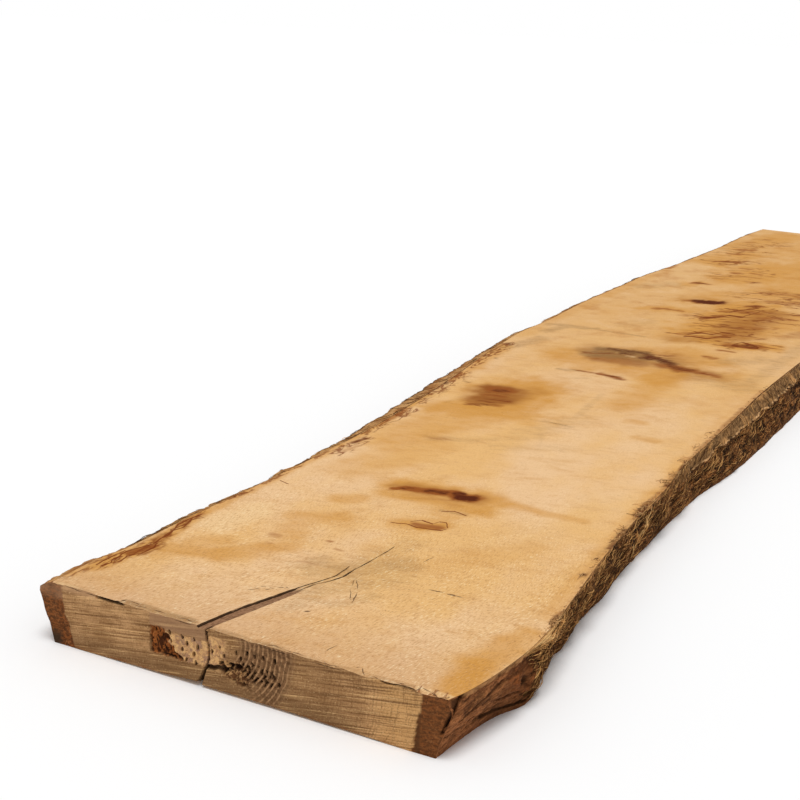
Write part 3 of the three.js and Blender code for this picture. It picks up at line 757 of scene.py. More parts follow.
def arris_depths(x, z):
    """Depths of the bevel at the left, the chips and the lost flake under the top's near arris."""
    top = top_height(x)
    bevel = 1.6 * (1 - smooth(x, -142, -134)) * smooth(z, top - 7.5, top - 1) * smooth(x, -182, -172)
    chips = 0.9 * smooth(z, top - 2.5, top) * smooth(rough(x / 9, 4.2 + 0 * x, 4), -0.2, 0.9)
    chips = chips * (1 - along_splinter(x))
    flaked = between(x, FLAKE[0] + 2, FLAKE[0] + 6, FLAKE[1] - 5, FLAKE[1]) * smooth(z, top - 3.5, top - 1)
    return bevel, chips, flaked * (1.4 + rough(x / 4, z / 3, 3))


def arris_slots(x, z):
    """Three masks: the gap under the long splinter, the shorter split, and the right corner's split."""
    down = z - top_height(x)
    slot = along_splinter(x) * groove(down + 1.4, 1.6)
    first, last = ARRIS_SPLIT
    split = groove(down + 0.9 + 0.5 * hills(x / 6, 2), 0.9) * between(x, first, first + 4, last - 4, last)
    corner = groove(from_line(x, z, CORNER_SPLIT), mix(1.2, 3, smooth(z, 24, 40)))
    return slot, split, corner


def end_relief(x, z):
    """How far the near end is eaten away at each place, in millimetres, with its masks for the materials.

    It is the deepest of the crack, the insect holes, the decay, the weathered rings, the gaps and losses
    along the arris and the rough bark, on top of fine saw marks.
    """
    zones = end_zones(x, z)
    crack, branch = face_crack(x, z)
    hole = insect_holes(x, z)
    rot, pale, crumb = decay_relief(x, z, zones)
    ridge, gap = weathered_rings(x, z, zones)
    bevel, chips, flaked = arris_depths(x, z)
    slot, split, corner = arris_slots(x, z)
    bark = zones["end_bark"] * (0.5 + 0.5 * rough(x / 3, z / 9, 3))
    saw = 0.12 * hills(x / 60, z / 1.3) + 0.08 * hills(x / 7, z / 0.7)
    parts = [
        crack * CRACK_FACE_DEPTH, branch * BRANCH_DEPTH, hole * HOLE_DEPTH, gap * RING_DEPTH,
        slot * SPLINTER_DEPTH, split * ARRIS_SPLIT_DEPTH, corner * CORNER_DEPTH,
        rot, pale, crumb, bevel, chips, flaked, bark,
    ]
    # Painted shade: dark in the crack, its branch, insect holes, gaps, splits and deep crumbled wood
    pit = np.maximum.reduce([
        crack, branch * 0.9, hole, slot, split * 0.8, smooth(crumb, 2.8, 4.6), smooth(gap, 0.3, 0.9), corner,
    ])
    masks = {name: zones[name] for name in ("rot", "pale_wood", "crumb", "mauve", "end_bark")}
    masks["pit"] = pit
    masks["rings"] = zones["rings"] * (1 - smooth(ridge, 0.03, 0.33))
    masks["ring_wood"] = zones["rings"]
    masks["bevel"] = np.maximum(np.clip(bevel / 1.2, 0, 1), np.clip(flaked, 0, 1))
    return np.maximum.reduce(parts) + saw, masks


def along_board(count, first_step, power):
    """Places from 0 to the far end: steps that start at first_step and grow with the given power."""
    t = np.linspace(0, 1, count)
    straight = first_step * (count - 1) / LENGTH
    return LENGTH * (straight * t + (1 - straight) * t**power)


def split_place(drop, half):
    """s of the right corner's split at a drop, with half its width added, or the plain rim below it."""
    return np.maximum(NEAR_RIM, SPLIT_START * (1 - drop / SPLIT_DROP) + half)


def wood_inset(s, drop, side):
    """How far the wood's side lies behind the bark: nothing at the near rim, and the full inset past it."""
    rim = split_place(drop, -SPLIT_HALF) if side > 0 else NEAR_RIM
    return INSET * smooth(drop, 0.2, 2.5) * smooth(s, rim, rim + 1.5)


def wood_rings():
    """The board's own surface as rings of points around it, one at each station from end to end.

    A ring goes up the left side, across the top, down the right side and back along the underside. The
    columns of the top follow the crack and are close together beside it. Returns s, x, z and the numbers of
    columns in a side and in the top.
    """
    start = NEAR_STATIONS[-1]
    rest = start + along_board(WOOD_STATIONS, 2.7, 2.3)[1:] * (LENGTH - start) / LENGTH
    s = np.concatenate([NEAR_STATIONS, rest])[:, None]
    guide = crack_guide(s)
    left_x, right_x = top_border(s, -1), top_border(s, 1)
    half = CRACK_BAND + 0.3 * np.minimum(guide - left_x, right_x - guide) * smooth(s, 236, 700)
    outer = np.linspace(0, 1, OUTER_COLUMNS)
    to_left = mix(left_x, guide - half, 1 - (1 - outer[:-1]) ** 0.9)
    crack_zone = guide + half * np.linspace(-1, 1, CRACK_COLUMNS)
    to_right = mix(guide + half, right_x, outer[1:])
    top_x = np.concatenate([to_left, crack_zone, to_right], 1)
    top_z = top_height(top_x) - np.maximum(crack_relief(top_x, s)[0], arris_wear(top_x, s))
    drop = THICKNESS * np.linspace(0, 1, SIDE_ROWS)[None, 1:] ** 1.6
    left = left_side(s, drop) + wood_inset(s, drop, -1)
    left_z = side_height(left_x, drop)
    right = right_side(s, drop) - wood_inset(s, drop, 1)
    right_z = side_height(right_x, drop)
    foot_gap = np.linspace(*GAP_SPAN, GAP_COLUMNS)
    across = np.linspace(0, 1, FOOT_COLUMNS)[1:-1]
    low_right = mix(right[:, -1:], foot_gap[-1], across)
    low_left = mix(foot_gap[0], left[:, -1:], across)
    low_x = np.concatenate([low_right, foot_gap[::-1] + 0 * s, low_left], 1)
    x = np.concatenate([left[:, ::-1], top_x, right, low_x], 1)
    z = np.concatenate([left_z[:, ::-1], top_z, right_z, foot_height(low_x, s)], 1)
    side, top = left.shape[1], top_x.shape[1]
    for foot in (0, side + top + side - 1):
        z[:, foot] = foot_height(x[:, foot], s[:, 0])
    return s, x, z, side, top


def loop_share(x, z, low_left, top_left, top_right, low_right):
    """Share of the way round an end's ring: from its lower left corner up, across, down and back."""
    share = np.empty(len(x))
    rise = np.maximum(z[low_left:top_left + 1] - z[low_left], 0)
    share[low_left:top_left + 1] = rise / rise[-1]
    width = x[top_left:top_right + 1] - x[top_left]
    share[top_left:top_right + 1] = 1 + width / width[-1]
    fall = z[top_right] - z[top_right:low_right + 1]
    share[top_right:low_right + 1] = 2 + fall / fall[-1]
    back = x[low_right] - x[low_right:]
    share[low_right:] = 3 + back / (x[low_right] - x[low_left])
    return share / 4


def patch_loop(number):
    """The border of a patch of point numbers [row from the foot, column from the left], clockwise."""
    return np.concatenate([number[:-1, 0], number[-1, :-1], number[:0:-1, -1], number[0, :0:-1]])


def border_share(rows, columns):
    """Share of the way round a patch for the points of patch_loop, with rows and columns from 0 to 1."""
    return np.concatenate([rows[:-1], 1 + columns[:-1], 2 + 1 - rows[:0:-1], 3 + 1 - columns[:0:-1]]) / 4


def end_patch(ring_x, ring_z, corners, rows, columns, margin):
    """A grid that fills an end inside its ring, a margin in from it: (x, z) of each row and column."""
    low_left, top_left, top_right, low_right = corners
    left_z, left_x = ring_z[low_left:top_left + 1], ring_x[low_left:top_left + 1]
    right_z, right_x = ring_z[top_right:low_right + 1][::-1], ring_x[top_right:low_right + 1][::-1]
    top_x, top_z = ring_x[top_left:top_right + 1], ring_z[top_left:top_right + 1]
    low_x = np.append(ring_x[low_right:], ring_x[low_left])[::-1]
    low_z = np.append(ring_z[low_right:], ring_z[low_left])[::-1]
    v = rows[:, None]
    edge_left = np.interp(mix(left_z[0], left_z[-1], v), left_z, left_x) + margin
    edge_right = np.interp(mix(right_z[0], right_z[-1], v), right_z, right_x) - margin
    x = mix(edge_left, edge_right, columns[None, :])
    bottom = np.interp(x, low_x, low_z) + margin
    top = np.interp(x, top_x, top_z) - margin
    return x, mix(bottom, top, v)


def graded_columns(spans):
    """Columns from 0 to 1, for (x from, x to, spacing) spans that follow each other."""
    parts = [np.linspace(a, b, max(2, round((b - a) / step)), endpoint=False) for a, b, step in spans]
    x = np.append(np.concatenate(parts), spans[-1][1])
    return (x - x[0]) / (x[-1] - x[0])


def wood_masks(s, x, side, top, rim_masks, patch_masks, patch_size, far_size):
    """The masks at every point of the wood: stains and crack on the top, the decay's own on the near end."""
    size = x.size + patch_size + far_size
    on_top = np.zeros(x.shape, bool)
    on_top[:, side:side + top] = True
    on_top = np.append(on_top.ravel(), np.zeros(patch_size + far_size, bool))
    on_patch = np.zeros(size, bool)
    on_patch[x.size:x.size + patch_size] = True
    top_x = x[:, side:side + top]
    sunk, strip = crack_relief(top_x, s)
    masks = {name: np.zeros(size) for name in (*END_MASKS, *STAINS, "strip", "hollow")}
    for name, rows in STAINS.items():
        masks[name][on_top] = stain_field(rows, s, top_x).ravel()
    masks["strip"][on_top] = strip.ravel()
    # Painted shade: dark in the crack, from its depth
    crack_shade = np.maximum(smooth(sunk, 1.9, 4), smooth(sunk, 0.4, 1.5) * (strip < 0.5))
    masks["pit"][on_top] = crack_shade.ravel()
    for name in END_MASKS:
        masks[name][on_patch] = patch_masks[name].ravel()
        masks[name][:x.shape[1]] = np.maximum(masks[name][:x.shape[1]], rim_masks[name])
    # Painted shade: the wood's sides lie behind the bark and are painted near black
    hollow = np.zeros(x.shape)
    hollow[:, :side] = hollow[:, side + top:side + top + side] = smooth(s, 1, 3)
    masks["hollow"][:x.size] = hollow.ravel()
    return masks


def oak_wood(materials):
    """The whole board as one closed mesh: rings from end to end, with a fine patch over each end."""
    s, x, z, side, top = wood_rings()
    corners = (0, side, side + top - 1, side + top + side - 1)
    eaten, eaten_masks = end_relief(x, z)
    rim_masks = {name: values[0] for name, values in eaten_masks.items()}
    ring_s = s + np.minimum(eaten * (1 - smooth(s, 0, 14)), CRACK_FACE_DEPTH)
    columns = graded_columns(NEAR_SPANS)
    rows = np.linspace(0, 1, NEAR_ROWS)
    patch_x, patch_z = end_patch(x[0], z[0], corners, rows, columns, NEAR_MARGIN)
    patch_depth, patch_masks = end_relief(patch_x, patch_z)
    far_rows, far_columns = (np.linspace(0, 1, count) for count in FAR_PATCH)
    far_x, far_z = end_patch(x[-1], z[-1], corners, far_rows, far_columns, FAR_MARGIN)
    points = np.concatenate([
        to_metres(x, ring_s, z), to_metres(patch_x, patch_depth, patch_z), to_metres(far_x, LENGTH, far_z),
    ])
    ring = np.arange(x.size).reshape(x.shape)
    near = x.size + np.arange(patch_x.size).reshape(patch_x.shape)
    far = near[-1, -1] + 1 + np.arange(far_x.size).reshape(far_x.shape)
    near_seam = seam_triangles(
        ring[0], loop_share(x[0], z[0], *corners), patch_loop(near), border_share(rows, columns)
    )
    far_seam = seam_triangles(
        ring[-1], loop_share(x[-1], z[-1], *corners), patch_loop(far), border_share(far_rows, far_columns)
    )
    low = np.concatenate([ring[:, corners[3]:], ring[:, :1]], 1)
    groups = [
        (grid_triangles(ring[:, corners[1]:corners[2] + 1]), 0), (grid_triangles(low), 0),
        (grid_triangles(ring[:, corners[0]:corners[1] + 1]), 1),
        (grid_triangles(ring[:, corners[2]:corners[3] + 1]), 1),
        (near_seam[:, ::-1], 2), (grid_triangles(near)[:, ::-1], 2),
        (far_seam, 3), (grid_triangles(far), 3),
    ]
    masks = wood_masks(s, x, side, top, rim_masks, patch_masks, patch_x.size, far_x.size)
    return make_piece("oak_wood", points, groups, materials, masks, sharp=SHARP_EDGE)


def mound(away, shape):
    """A round mound's height at a distance from its middle, for its shape, which is (reach, height)."""
    reach, height = shape
    return height * np.exp(-((away / reach) ** 2))


def bark_detail(s, drop, side):
    """Fine relief of the bark in millimetres: long ridges that rise along the board, plates and grit.

    The right bark has a small knot as well, round which the ridges bend, and its folds.
    """
    seed = 50 * side
    knot = np.hypot((s - BRANCH_KNOT[0]) / 1.4, drop - BRANCH_KNOT[1]) if side > 0 else 99 + 0 * drop
    bend = mound(knot, KNOT_BEND) * np.sign(drop - BRANCH_KNOT[1])
    rise = drop + BARK_LEAN * s + 2.5 * hills(s / 37 + seed, drop / 19) + bend
    calm = smooth_bark(s) if side > 0 else 1 + 0 * s
    long_ridge = ridges(s / 17 + seed, rise / 2.9, 3)
    fibre = ridges(s / 11 - seed, rise / 1.3, 2)
    plate = smooth(rough(s / 19 + seed, drop / 8, 3), -0.1, 0.15)
    chip = rough(s / 6 + seed, rise / 3.4, 3)
    grit = hills(s / 2.3, drop / 1.1 + seed)
    wane = smooth(drop, 5, 12) if side > 0 else smooth(drop, 2, 8)
    wane = mix(1, wane, smooth(s, 480, 600))
    relief = 1.6 * (long_ridge - 0.7) + 1.1 * (fibre - 0.6) + 1.5 * (plate - 0.6) + 1.1 * chip + 0.4 * grit
    relief = relief * mix(0.35, 1, calm * wane) * (1 - 0.85 * smooth(drop, 36, 50))
    if side > 0:
        relief = relief + mound(knot, KNOT_MOUND) - mound(knot, KNOT_HOLE)
        for *line, half, depth in BARK_CREASES:
            away = from_line(s, drop + 0.8 * hills(s / 6, drop / 5), line)
            relief = relief - depth * groove(away, half)
    return relief * smooth(drop, 0, 3)


def bark_masks(s, drop, detail, side):
    """Masks of a bark's face: hollows of painted shade, crests of painted highlight, and the wane, bare wood,
    ledge and rim above the bark, the rim a painted highlight.
    """
    far = smooth(s, 540, 640)
    bare_reach = mix(9, SHOULDER_DROP - 2, smooth(s, 400, 540))
    return {
        # painted shade: dark where the relief is low, in the bark's hollows
        "hollow": 1 - smooth(detail, -1.6, 0.4),
        # painted highlight: paler where the relief is high, on the bark's crests
        "crest_highlight": smooth(detail, 0.5, 1.9),
        "wane": (side > 0) * far * (1 - smooth(drop, LEDGE_DROP - 2, LEDGE_DROP)),
        "bare": (side < 0) * (1 - smooth(drop, bare_reach, bare_reach + 3)),
        "ledge": (side > 0) * far * groove(drop - LEDGE_DROP + 0.8, 1.3),
        # painted highlight along the top of the right bark, near the cut end
        "rim": (side > 0) * (1 - smooth(drop, 2, 6)) * (1 - smooth(s, 500, 620)),
    }


def bark_slab(name, side, material):
    """The bark of one edge, a closed slab: a rough outer face, a plain back and both rims.

    Each station is a ring of points down the outer face and up the back, which lies behind the wood's side.
    """
    s = NEAR_RIM + along_board(BARK_STATIONS, 1.15, 2.2)[:, None] * (LENGTH - NEAR_RIM) / LENGTH
    rim = 0.5 + 0.35 * hills(s / 3, 5.5 * side)
    border = top_border(s, side)
    drop = mix(rim, THICKNESS, np.linspace(0, 1, BARK_ROWS)[None, :])
    back_drop = mix(rim + 0.4, THICKNESS, np.linspace(1, 0, BACK_ROWS)[None, :])
    later = (1 - smooth(s, 2, 30)) * (side > 0)
    place = s + later * (split_place(drop, SPLIT_HALF) - NEAR_RIM)
    detail = bark_detail(place, drop, side)
    rounding = 0.6 * (1 - smooth(s, NEAR_RIM, NEAR_RIM + 4))
    out = side_face(place, drop, side) + side * (detail - rounding)
    back_place = s + later * (split_place(back_drop, SPLIT_HALF) - NEAR_RIM)
    behind = (INSET + BACK_GAP) * smooth(back_drop, 0.2, 2)
    back = side_face(back_place, back_drop, side) - side * behind
    x = np.concatenate([out, back], 1)
    z = side_height(border, np.concatenate([drop, back_drop], 1))
    points = to_metres(x, np.concatenate([place + 0 * out, back_place], 1), np.maximum(z, 0.05))
    ring = np.arange(x.size).reshape(x.shape)
    centres = points.reshape(*x.shape, 3)[[0, -1]].mean(1)
    groups = [(grid_triangles(ring, closed=True), 0)]
    for end, centre in zip((ring[0][::-1], ring[-1]), x.size + np.arange(2)):
        groups.append((np.stack([end, np.roll(end, -1), np.full(end.size, centre)], -1), 0))
    masks = {}
    for mask, value in bark_masks(place, drop, detail, side).items():
        whole = np.zeros(x.shape)
        whole[:, :drop.shape[1]] = value
        masks[mask] = np.append(whole.ravel(), [0, 0])
    return make_piece(name, np.concatenate([points, centres]), groups, [material], masks)


def strand_piece(name, path, radius, shade, material):
    """Thin three-sided fibres, closed at both ends.

    path holds each fibre's points in metres, radius its thickness at each point. Around every point stand
    three corners: centre + radius (cos a side + sin a up), with side and up square to the fibre.
    """
    along = np.gradient(path, axis=1)
    along /= np.linalg.norm(along, axis=2, keepdims=True) + 1e-12
    side = np.cross(along, (0.1, 0.2, 1))
    side /= np.linalg.norm(side, axis=2, keepdims=True) + 1e-12
    up = np.cross(side, along)
    turn = 2 * np.pi * np.arange(3) / 3
    corner = np.cos(turn)[:, None] * side[:, :, None] + np.sin(turn)[:, None] * up[:, :, None]
    points = path[:, :, None] + radius[:, :, None, None] * corner
    number = np.arange(points[..., 0].size).reshape(points.shape[:3])
    following = np.roll(number, -1, axis=2)
    a, b, c, d = number[:, :-1], following[:, :-1], following[:, 1:], number[:, 1:]
    walls = [np.stack(corners, -1).reshape(-1, 3) for corners in ((a, b, c), (a, c, d))]
    groups = [(np.concatenate([*walls, number[:, 0, ::-1], number[:, -1]]), 0)]
    shades = np.broadcast_to(shade[:, None, None], number.shape)
    return make_piece(name, points.reshape(-1, 3), groups, [material], {"shade": shades})


def hanging_strands(name, side, count, material):
    """Bast strands that lie along a bark face and lift off it in their middle.

    A strand starts at a scattered s and drop, runs along the board and down by its own slope with a slow
    wave, and stands off the bark by lift sin(pi t) and a small scatter.
    """
    random = np.random.default_rng(7 + side)
    t = np.linspace(0, 1, STRAND_POINTS)[None, :]
    spare = LENGTH - STRANDS_FROM - STRANDS_SHORT
    first = STRANDS_FROM + spare * random.random((count, 1)) ** 1.7
    start = THICKNESS * (0.03 + 0.89 * random.random((count, 1)) ** 1.3)
    length = mix(*STRAND_LENGTHS, random.random((count, 1)) ** 2)
    slope = -BARK_LEAN + 0.22 * random.standard_normal((count, 1))
    steep = random.random((count, 1)) < 0.1
    slope = np.where(steep, slope - 0.6 * random.random((count, 1)), slope)
    wave = 0.7 * np.sin(5 * t + 9 * random.random((count, 1))) * random.random((count, 1))
    s = first + length * t
    drop = np.clip(start + slope * length * t + wave, 0.8, THICKNESS - 1.5)
    lift = 0.1 + 0.5 * random.random((count, 1)) + 2.2 * random.random((count, 1)) ** 5 * np.sin(np.pi * t)
    x = side_face(s, drop, side) + side * (bark_detail(s, drop, side) + lift)
    path = to_metres(x, s, side_height(top_border(s, side), drop)).reshape(count, STRAND_POINTS, 3)
    radius = mix(*STRAND_RADII, random.random((count, 1)) ** 2) * (1 - 0.6 * np.abs(2 * t - 1) ** 3) / 1000
    return strand_piece(name, path, radius, random.random(count) ** 2.8, material)


def fibre_bundles(name, bundles, thickest, material):
    """Pale fibres in bundles on the right bark: each goes nearly straight from one place to another.

    A fibre's ends are scattered round the bundle's own, and it stands off the bark by lift sin(pi t). Its
    radius in millimetres is thickest or less, and thins towards both ends.
    """
    random = np.random.default_rng(33)
    rows = np.concatenate([np.repeat([row[:6]], row[6], 0) for row in bundles])
    s0, drop0, s1, drop1, lift, spread = rows.T[:, :, None]
    count = len(rows)
    t = np.linspace(0, 1, STRAND_POINTS)[None, :]
    first, last = 0.5 * random.random((count, 1)) ** 2, 1 - 0.5 * random.random((count, 1)) ** 2
    place = mix(first, last, t)
    stray = spread * random.standard_normal((2, count, 1))
    s = mix(s0, s1, place) + stray[0] * (1 + t)
    drop = mix(drop0, drop1, place) + 0.35 * (stray[1] + spread * np.sin(5 * t + 3 * stray[0]) * 0.4)
    drop = np.clip(drop, 0.4, THICKNESS - 2)
    out = 0.3 + lift * random.random((count, 1)) * np.sin(np.pi * t)
    x = right_side(s, drop) + bark_detail(s, drop, 1) + out
    path = to_metres(x, s, side_height(right_top(s), drop)).reshape(count, STRAND_POINTS, 3)
    radius = thickest * mix(0.4, 1, random.random((count, 1))) * (1 - 0.6 * np.abs(2 * t - 1) ** 3) / 1000
    return strand_piece(name, path, radius, 0.2 + 0.8 * random.random(count), material)


def border_hairs(name, material):
    """Wiry hairs in tufts on the top's right border, and short ones scattered all along it.

    A hair's middle is scattered within its tuft's reach. The hair runs length (t - 1/2) along a heading that
    turns with t, and stands off the top by a scattered height times sin(2.2 t).
    """
    random = np.random.default_rng(21)
    spots = [np.repeat([[s, x, reach]], hairs, 0) for s, x, reach, hairs in TUFTS]
    scattered = mix(*SINGLE_HAIR_SPAN, random.random(SINGLE_HAIRS))
    spots.append(np.stack([scattered, right_top(scattered), 5 + 0 * scattered], -1))
    s0, x0, reach = np.concatenate(spots).T[:, :, None]
    count = len(s0)
    t = np.linspace(0, 1, STRAND_POINTS)[None, :]
    away, turn = reach * random.random((count, 1)), 2 * np.pi * random.random((count, 1))
    heading = np.pi * (random.random((count, 1)) < 0.5) + 0.7 * random.standard_normal((count, 1))
    heading = heading + 2.6 * (random.random((count, 1)) - 0.5) * t
    length = reach * (0.4 + 0.9 * random.random((count, 1)))
    s = s0 + 1.3 * away * np.cos(turn) + length * (t - 0.5) * np.cos(heading)
    x = x0 - 0.5 - 0.7 * away * np.abs(np.sin(turn)) + 0.75 * length * (t - 0.5) * np.sin(heading)
    x = np.minimum(x, right_top(s) + 3)
    z = top_height(x) + 0.12 + np.minimum(0.2 * reach, 2) * random.random((count, 1)) ** 2 * np.sin(2.2 * t)
    path = to_metres(x, s, z).reshape(count, STRAND_POINTS, 3)
    radius = mix(*WIRE_RADII, random.random((count, 1))) * (1 - 0.5 * t) / 1000
    return strand_piece(name, path, radius, random.random(count), material)


def saw_fuzz(name, count, material):
    """Short pale hairs that the saw tore up from the top, none on the darker stains or beside the crack.

    A hair starts at a scattered place, runs length t along its heading, near the grain's, and rises height t.
    """
    random = np.random.default_rng(5)
    t = np.linspace(0, 1, 3)[None, :]
    s = 3 + SAW_HAIR_REACH * random.random((count, 1)) ** 1.5
    x = mix(top_border(s, -1) + 2, right_top(s) - 2, random.random((count, 1)))
    stained = stain_field(STAINS["rust"] + STAINS["haze"], s, x) > 0.15
    clear = (np.abs(x - crack_guide(s)) > CRACK_BAND) & ~stained
    s, x = s[clear[:, 0]], x[clear[:, 0]]
    count = len(s)
    length = mix(*SAW_HAIR_LENGTHS, random.random((count, 1)))
    heading = 0.25 + 0.5 * random.standard_normal((count, 1))
    height = mix(0.1, 0.55, random.random((count, 1)) ** 2)
    px, ps = x + length * t * np.sin(heading), s + length * t * np.cos(heading)
    path = to_metres(px, ps, top_height(px) + height * t - 0.02).reshape(count, 3, 3)
    radius = SAW_HAIR * (1 - 0.7 * t) / 1000 + 0 * length
    return strand_piece(name, path, radius, 0.55 + 0.45 * random.random(count), material)


class Shader:
    """Adds nodes to a tree. Each method returns the socket with its result; values may be sockets."""

    def __init__(self, tree):
        self.tree = tree

    def put(self, socket, value):
        """Links the value to a socket, or stores it there. A colour gets its fourth number."""
        if isinstance(value, bpy.types.NodeSocket):
            self.tree.links.new(value, socket)
        elif socket.type == "RGBA" and len(value) == 3:
            socket.default_value = (*value, 1)
        else:
            socket.default_value = value

    def add(self, kind, inputs=(), output=0, **settings):
        """A new node with its settings and its inputs, which are given by name or number."""
        node = self.tree.nodes.new(kind)
        for name, value in settings.items():
            setattr(node, name, value)
        for name, value in dict(inputs).items():
            self.put(node.inputs[name], value)
        return node.outputs[output] if node.outputs else None

    def math(self, operation, a, b=0.0, c=0.0):
        return self.add("ShaderNodeMath", {0: a, 1: b, 2: c}, operation=operation)

    def times(self, a, b):
        return self.math("MULTIPLY", a, b)

    def vector(self, operation, a, b=(0, 0, 0), output=0):
        """A step of vector arithmetic. A length comes out of output 1."""
        return self.add("ShaderNodeVectorMath", {0: a, 1: b}, output, operation=operation)

    def stretch(self, place, size, centre=(0, 0, 0), turn=(0, 0, 0)):
        """The place in the pattern's own units: moved to its centre, turned back and divided by its size."""
        turn = [math.radians(angle) for angle in turn]
        inputs = {"Vector": place, "Location": centre, "Rotation": turn, "Scale": size}
        return self.add("ShaderNodeMapping", inputs, vector_type="TEXTURE")

    def noise(self, place, detail=2.0, roughness=0.5, distortion=0.0):
        inputs = {"Vector": place, "Scale": 1, "Detail": detail}
        inputs.update({"Roughness": roughness, "Distortion": distortion})
        return self.add("ShaderNodeTexNoise", inputs)

    def ease(self, value, low, high, to_low=0.0, to_high=1.0):
        """A soft S from to_low where the value is low to to_high where it is high."""
        inputs = {"Value": value, "From Min": low, "From Max": high, "To Min": to_low, "To Max": to_high}
        return self.add("ShaderNodeMapRange", inputs, interpolation_type="SMOOTHSTEP")

    def blend(self, a, b, share):
        """Colour a where the share is 0 and colour b where it is 1."""
        inputs = {0: share, 6: a, 7: b}
        return self.add("ShaderNodeMix", inputs, 2, data_type="RGBA", clamp_factor=True)

    def layered(self, colour, layers):
        """The colour with (colour, share) layers over it, one after another."""
        for over, share in layers:
            colour = self.blend(colour, over, share)
        return colour

    def mask(self, name):
        """A mask that the mesh holds as a point attribute."""
        return self.add("ShaderNodeAttribute", output=2, attribute_name=name)

    def lines(self, noise, half_width):
        """Thin crooked lines where a noise passes its middle value."""
        return self.ease(self.math("ABSOLUTE", self.math("SUBTRACT", noise, 0.5)), 0, half_width, 1, 0)

    def ragged(self, name, noise, amount, low, high):
        """A painted mask with its border broken up by a noise."""
        shift = self.math("MULTIPLY_ADD", noise, amount, -amount / 2)
        return self.ease(self.math("ADD", self.mask(name), shift), low, high)

    def group(self, tree, inputs, output=0):
        """A node group with its named inputs filled in."""
        node = self.tree.nodes.new("ShaderNodeGroup")
        node.node_tree = tree
        for name, value in inputs.items():
            self.put(node.inputs[name], value)
        return node.outputs[output]

    def place(self):
        """The board's own millimetres: x across, s along and z up."""
        inputs = {
            "Vector": self.add("ShaderNodeTexCoord", output=3),
            "Location": (BOX_MIDDLE, LENGTH / 2, 0),
            "Scale": (1000, 1000, 1000),
        }
        return self.add("ShaderNodeMapping", inputs)

    def axis(self, place, number):
        """One of a place's x, y and z, which are numbers 0, 1 and 2."""
        return self.add("ShaderNodeSeparateXYZ", {0: place}, number)

    def track(self, along, across, half_width, points):
        """A thin line through (along, across) points: 1 on it, and 0 past its half width and its two ends."""
        at, value = np.array(points, float).T
        low, high = value.min() - 1, value.max() + 1
        node = self.tree.nodes.new("ShaderNodeFloatCurve")
        line = node.mapping.curves[0].points
        shares = np.stack([(at - at[0]) / (at[-1] - at[0]), (value - low) / (high - low)], -1).tolist()
        line[0].location, line[-1].location = shares[0], shares[-1]
        for share in shares[1:-1]:
            line.new(*share)
        for point in line:
            point.handle_type = "VECTOR"
        node.mapping.update()
        self.put(node.inputs[1], self.ease_straight(along, at[0], at[-1]))
        middle = self.math("MULTIPLY_ADD", node.outputs[0], high - low, low)
        away = self.math("ABSOLUTE", self.math("SUBTRACT", across, middle))
        ends = self.times(self.ease(along, at[0] - 1, at[0] + 1), self.ease(along, at[-1] + 1, at[-1] - 1))
        return self.times(self.ease(away, 0.4 * half_width, half_width, 1, 0), ends)

    def ease_straight(self, value, low, high):
        """A straight rise from 0 where the value is low to 1 where it is high."""
        return self.add("ShaderNodeMapRange", {"Value": value, "From Min": low, "From Max": high})


def node_group(name, inputs, outputs):
    """An empty shader node group with its named sockets, and the helper that fills it."""
    tree = bpy.data.node_groups.new(name, "ShaderNodeTree")
    for socket, kind in inputs.items():
        tree.interface.new_socket(socket, in_out="INPUT", socket_type="NodeSocket" + kind)
    for socket, kind in outputs.items():
        tree.interface.new_socket(socket, in_out="OUTPUT", socket_type="NodeSocket" + kind)
    given = tree.nodes.new("NodeGroupInput")
    result = tree.nodes.new("NodeGroupOutput")
    return Shader(tree), given.outputs, result.inputs


def tint(red, green, blue, light=TOP_LIGHT):
    """The colour of a surface that shows as this screen colour, from 0 to 255, in the studio's light."""
    shares = np.array((red, green, blue)) / 255
    shown = np.where(shares <= 0.04045, shares / 12.92, ((shares + 0.055) / 1.055) ** 2.4)
    return tuple(np.minimum(shown / light, 0.95))


def side_tint(red, green, blue):
    """The same for an upright face."""
    return tint(red, green, blue, SIDE_LIGHT)


def wood_flecks_group():
    """Sawn wood's fine grain: short streaks along the grain as a height, and sparse pale and dark flecks.

    The grain leans to the right near the crack: x moves by 0.27 mm for each millimetre along.
    """
    outputs = {"Height": "Float", "Pale": "Float", "Dark": "Float"}
    sh, given, result = node_group("wood_flecks", {"Place": "Vector"}, outputs)
    lean = sh.add("ShaderNodeMapRange", {0: sh.axis(given["Place"], 1), 1: 0, 2: 190, 3: 0, 4: -50})
    place = sh.vector("ADD", given["Place"], sh.add("ShaderNodeCombineXYZ", {0: lean}))
    streak = sh.noise(sh.stretch(place, (1.1, 4.5, 1.1)), 4, 0.62)
    hair = sh.noise(sh.stretch(place, (0.8, 2.6, 0.8), (40, 0, 0)), 2, 0.6)
    sparse = sh.noise(sh.stretch(place, (38, 52, 40)), 2)
    sh.put(result["Height"], streak)
    sh.put(result["Pale"], sh.times(sh.ease(streak, 0.55, 0.72), sh.ease(sparse, 0.35, 0.6, 0.35, 1)))
    sh.put(result["Dark"], sh.times(sh.ease(hair, 0.64, 0.76), sh.ease(sparse, 0.6, 0.4)))
    return sh.tree


def fine_mark_group():
    """A thin dark mark: 1 on the line between two places and 0 past its half width, from its own mapping."""
    inputs = {"Place": "Vector", "Centre": "Vector", "Turn": "Vector", "Size": "Vector"}
    sh, given, result = node_group("fine_mark", inputs, {"Mask": "Float"})
    own = {"Vector": "Place", "Location": "Centre", "Rotation": "Turn", "Scale": "Size"}
    own = {socket: given[name] for socket, name in own.items()}
    local = sh.add("ShaderNodeMapping", own, vector_type="TEXTURE")
    reach = sh.vector("LENGTH", sh.vector("MULTIPLY", local, (1, 1, 0)), output=1)
    sh.put(result["Mask"], sh.ease(reach, 0.3, 1, 1, 0))
    return sh.tree


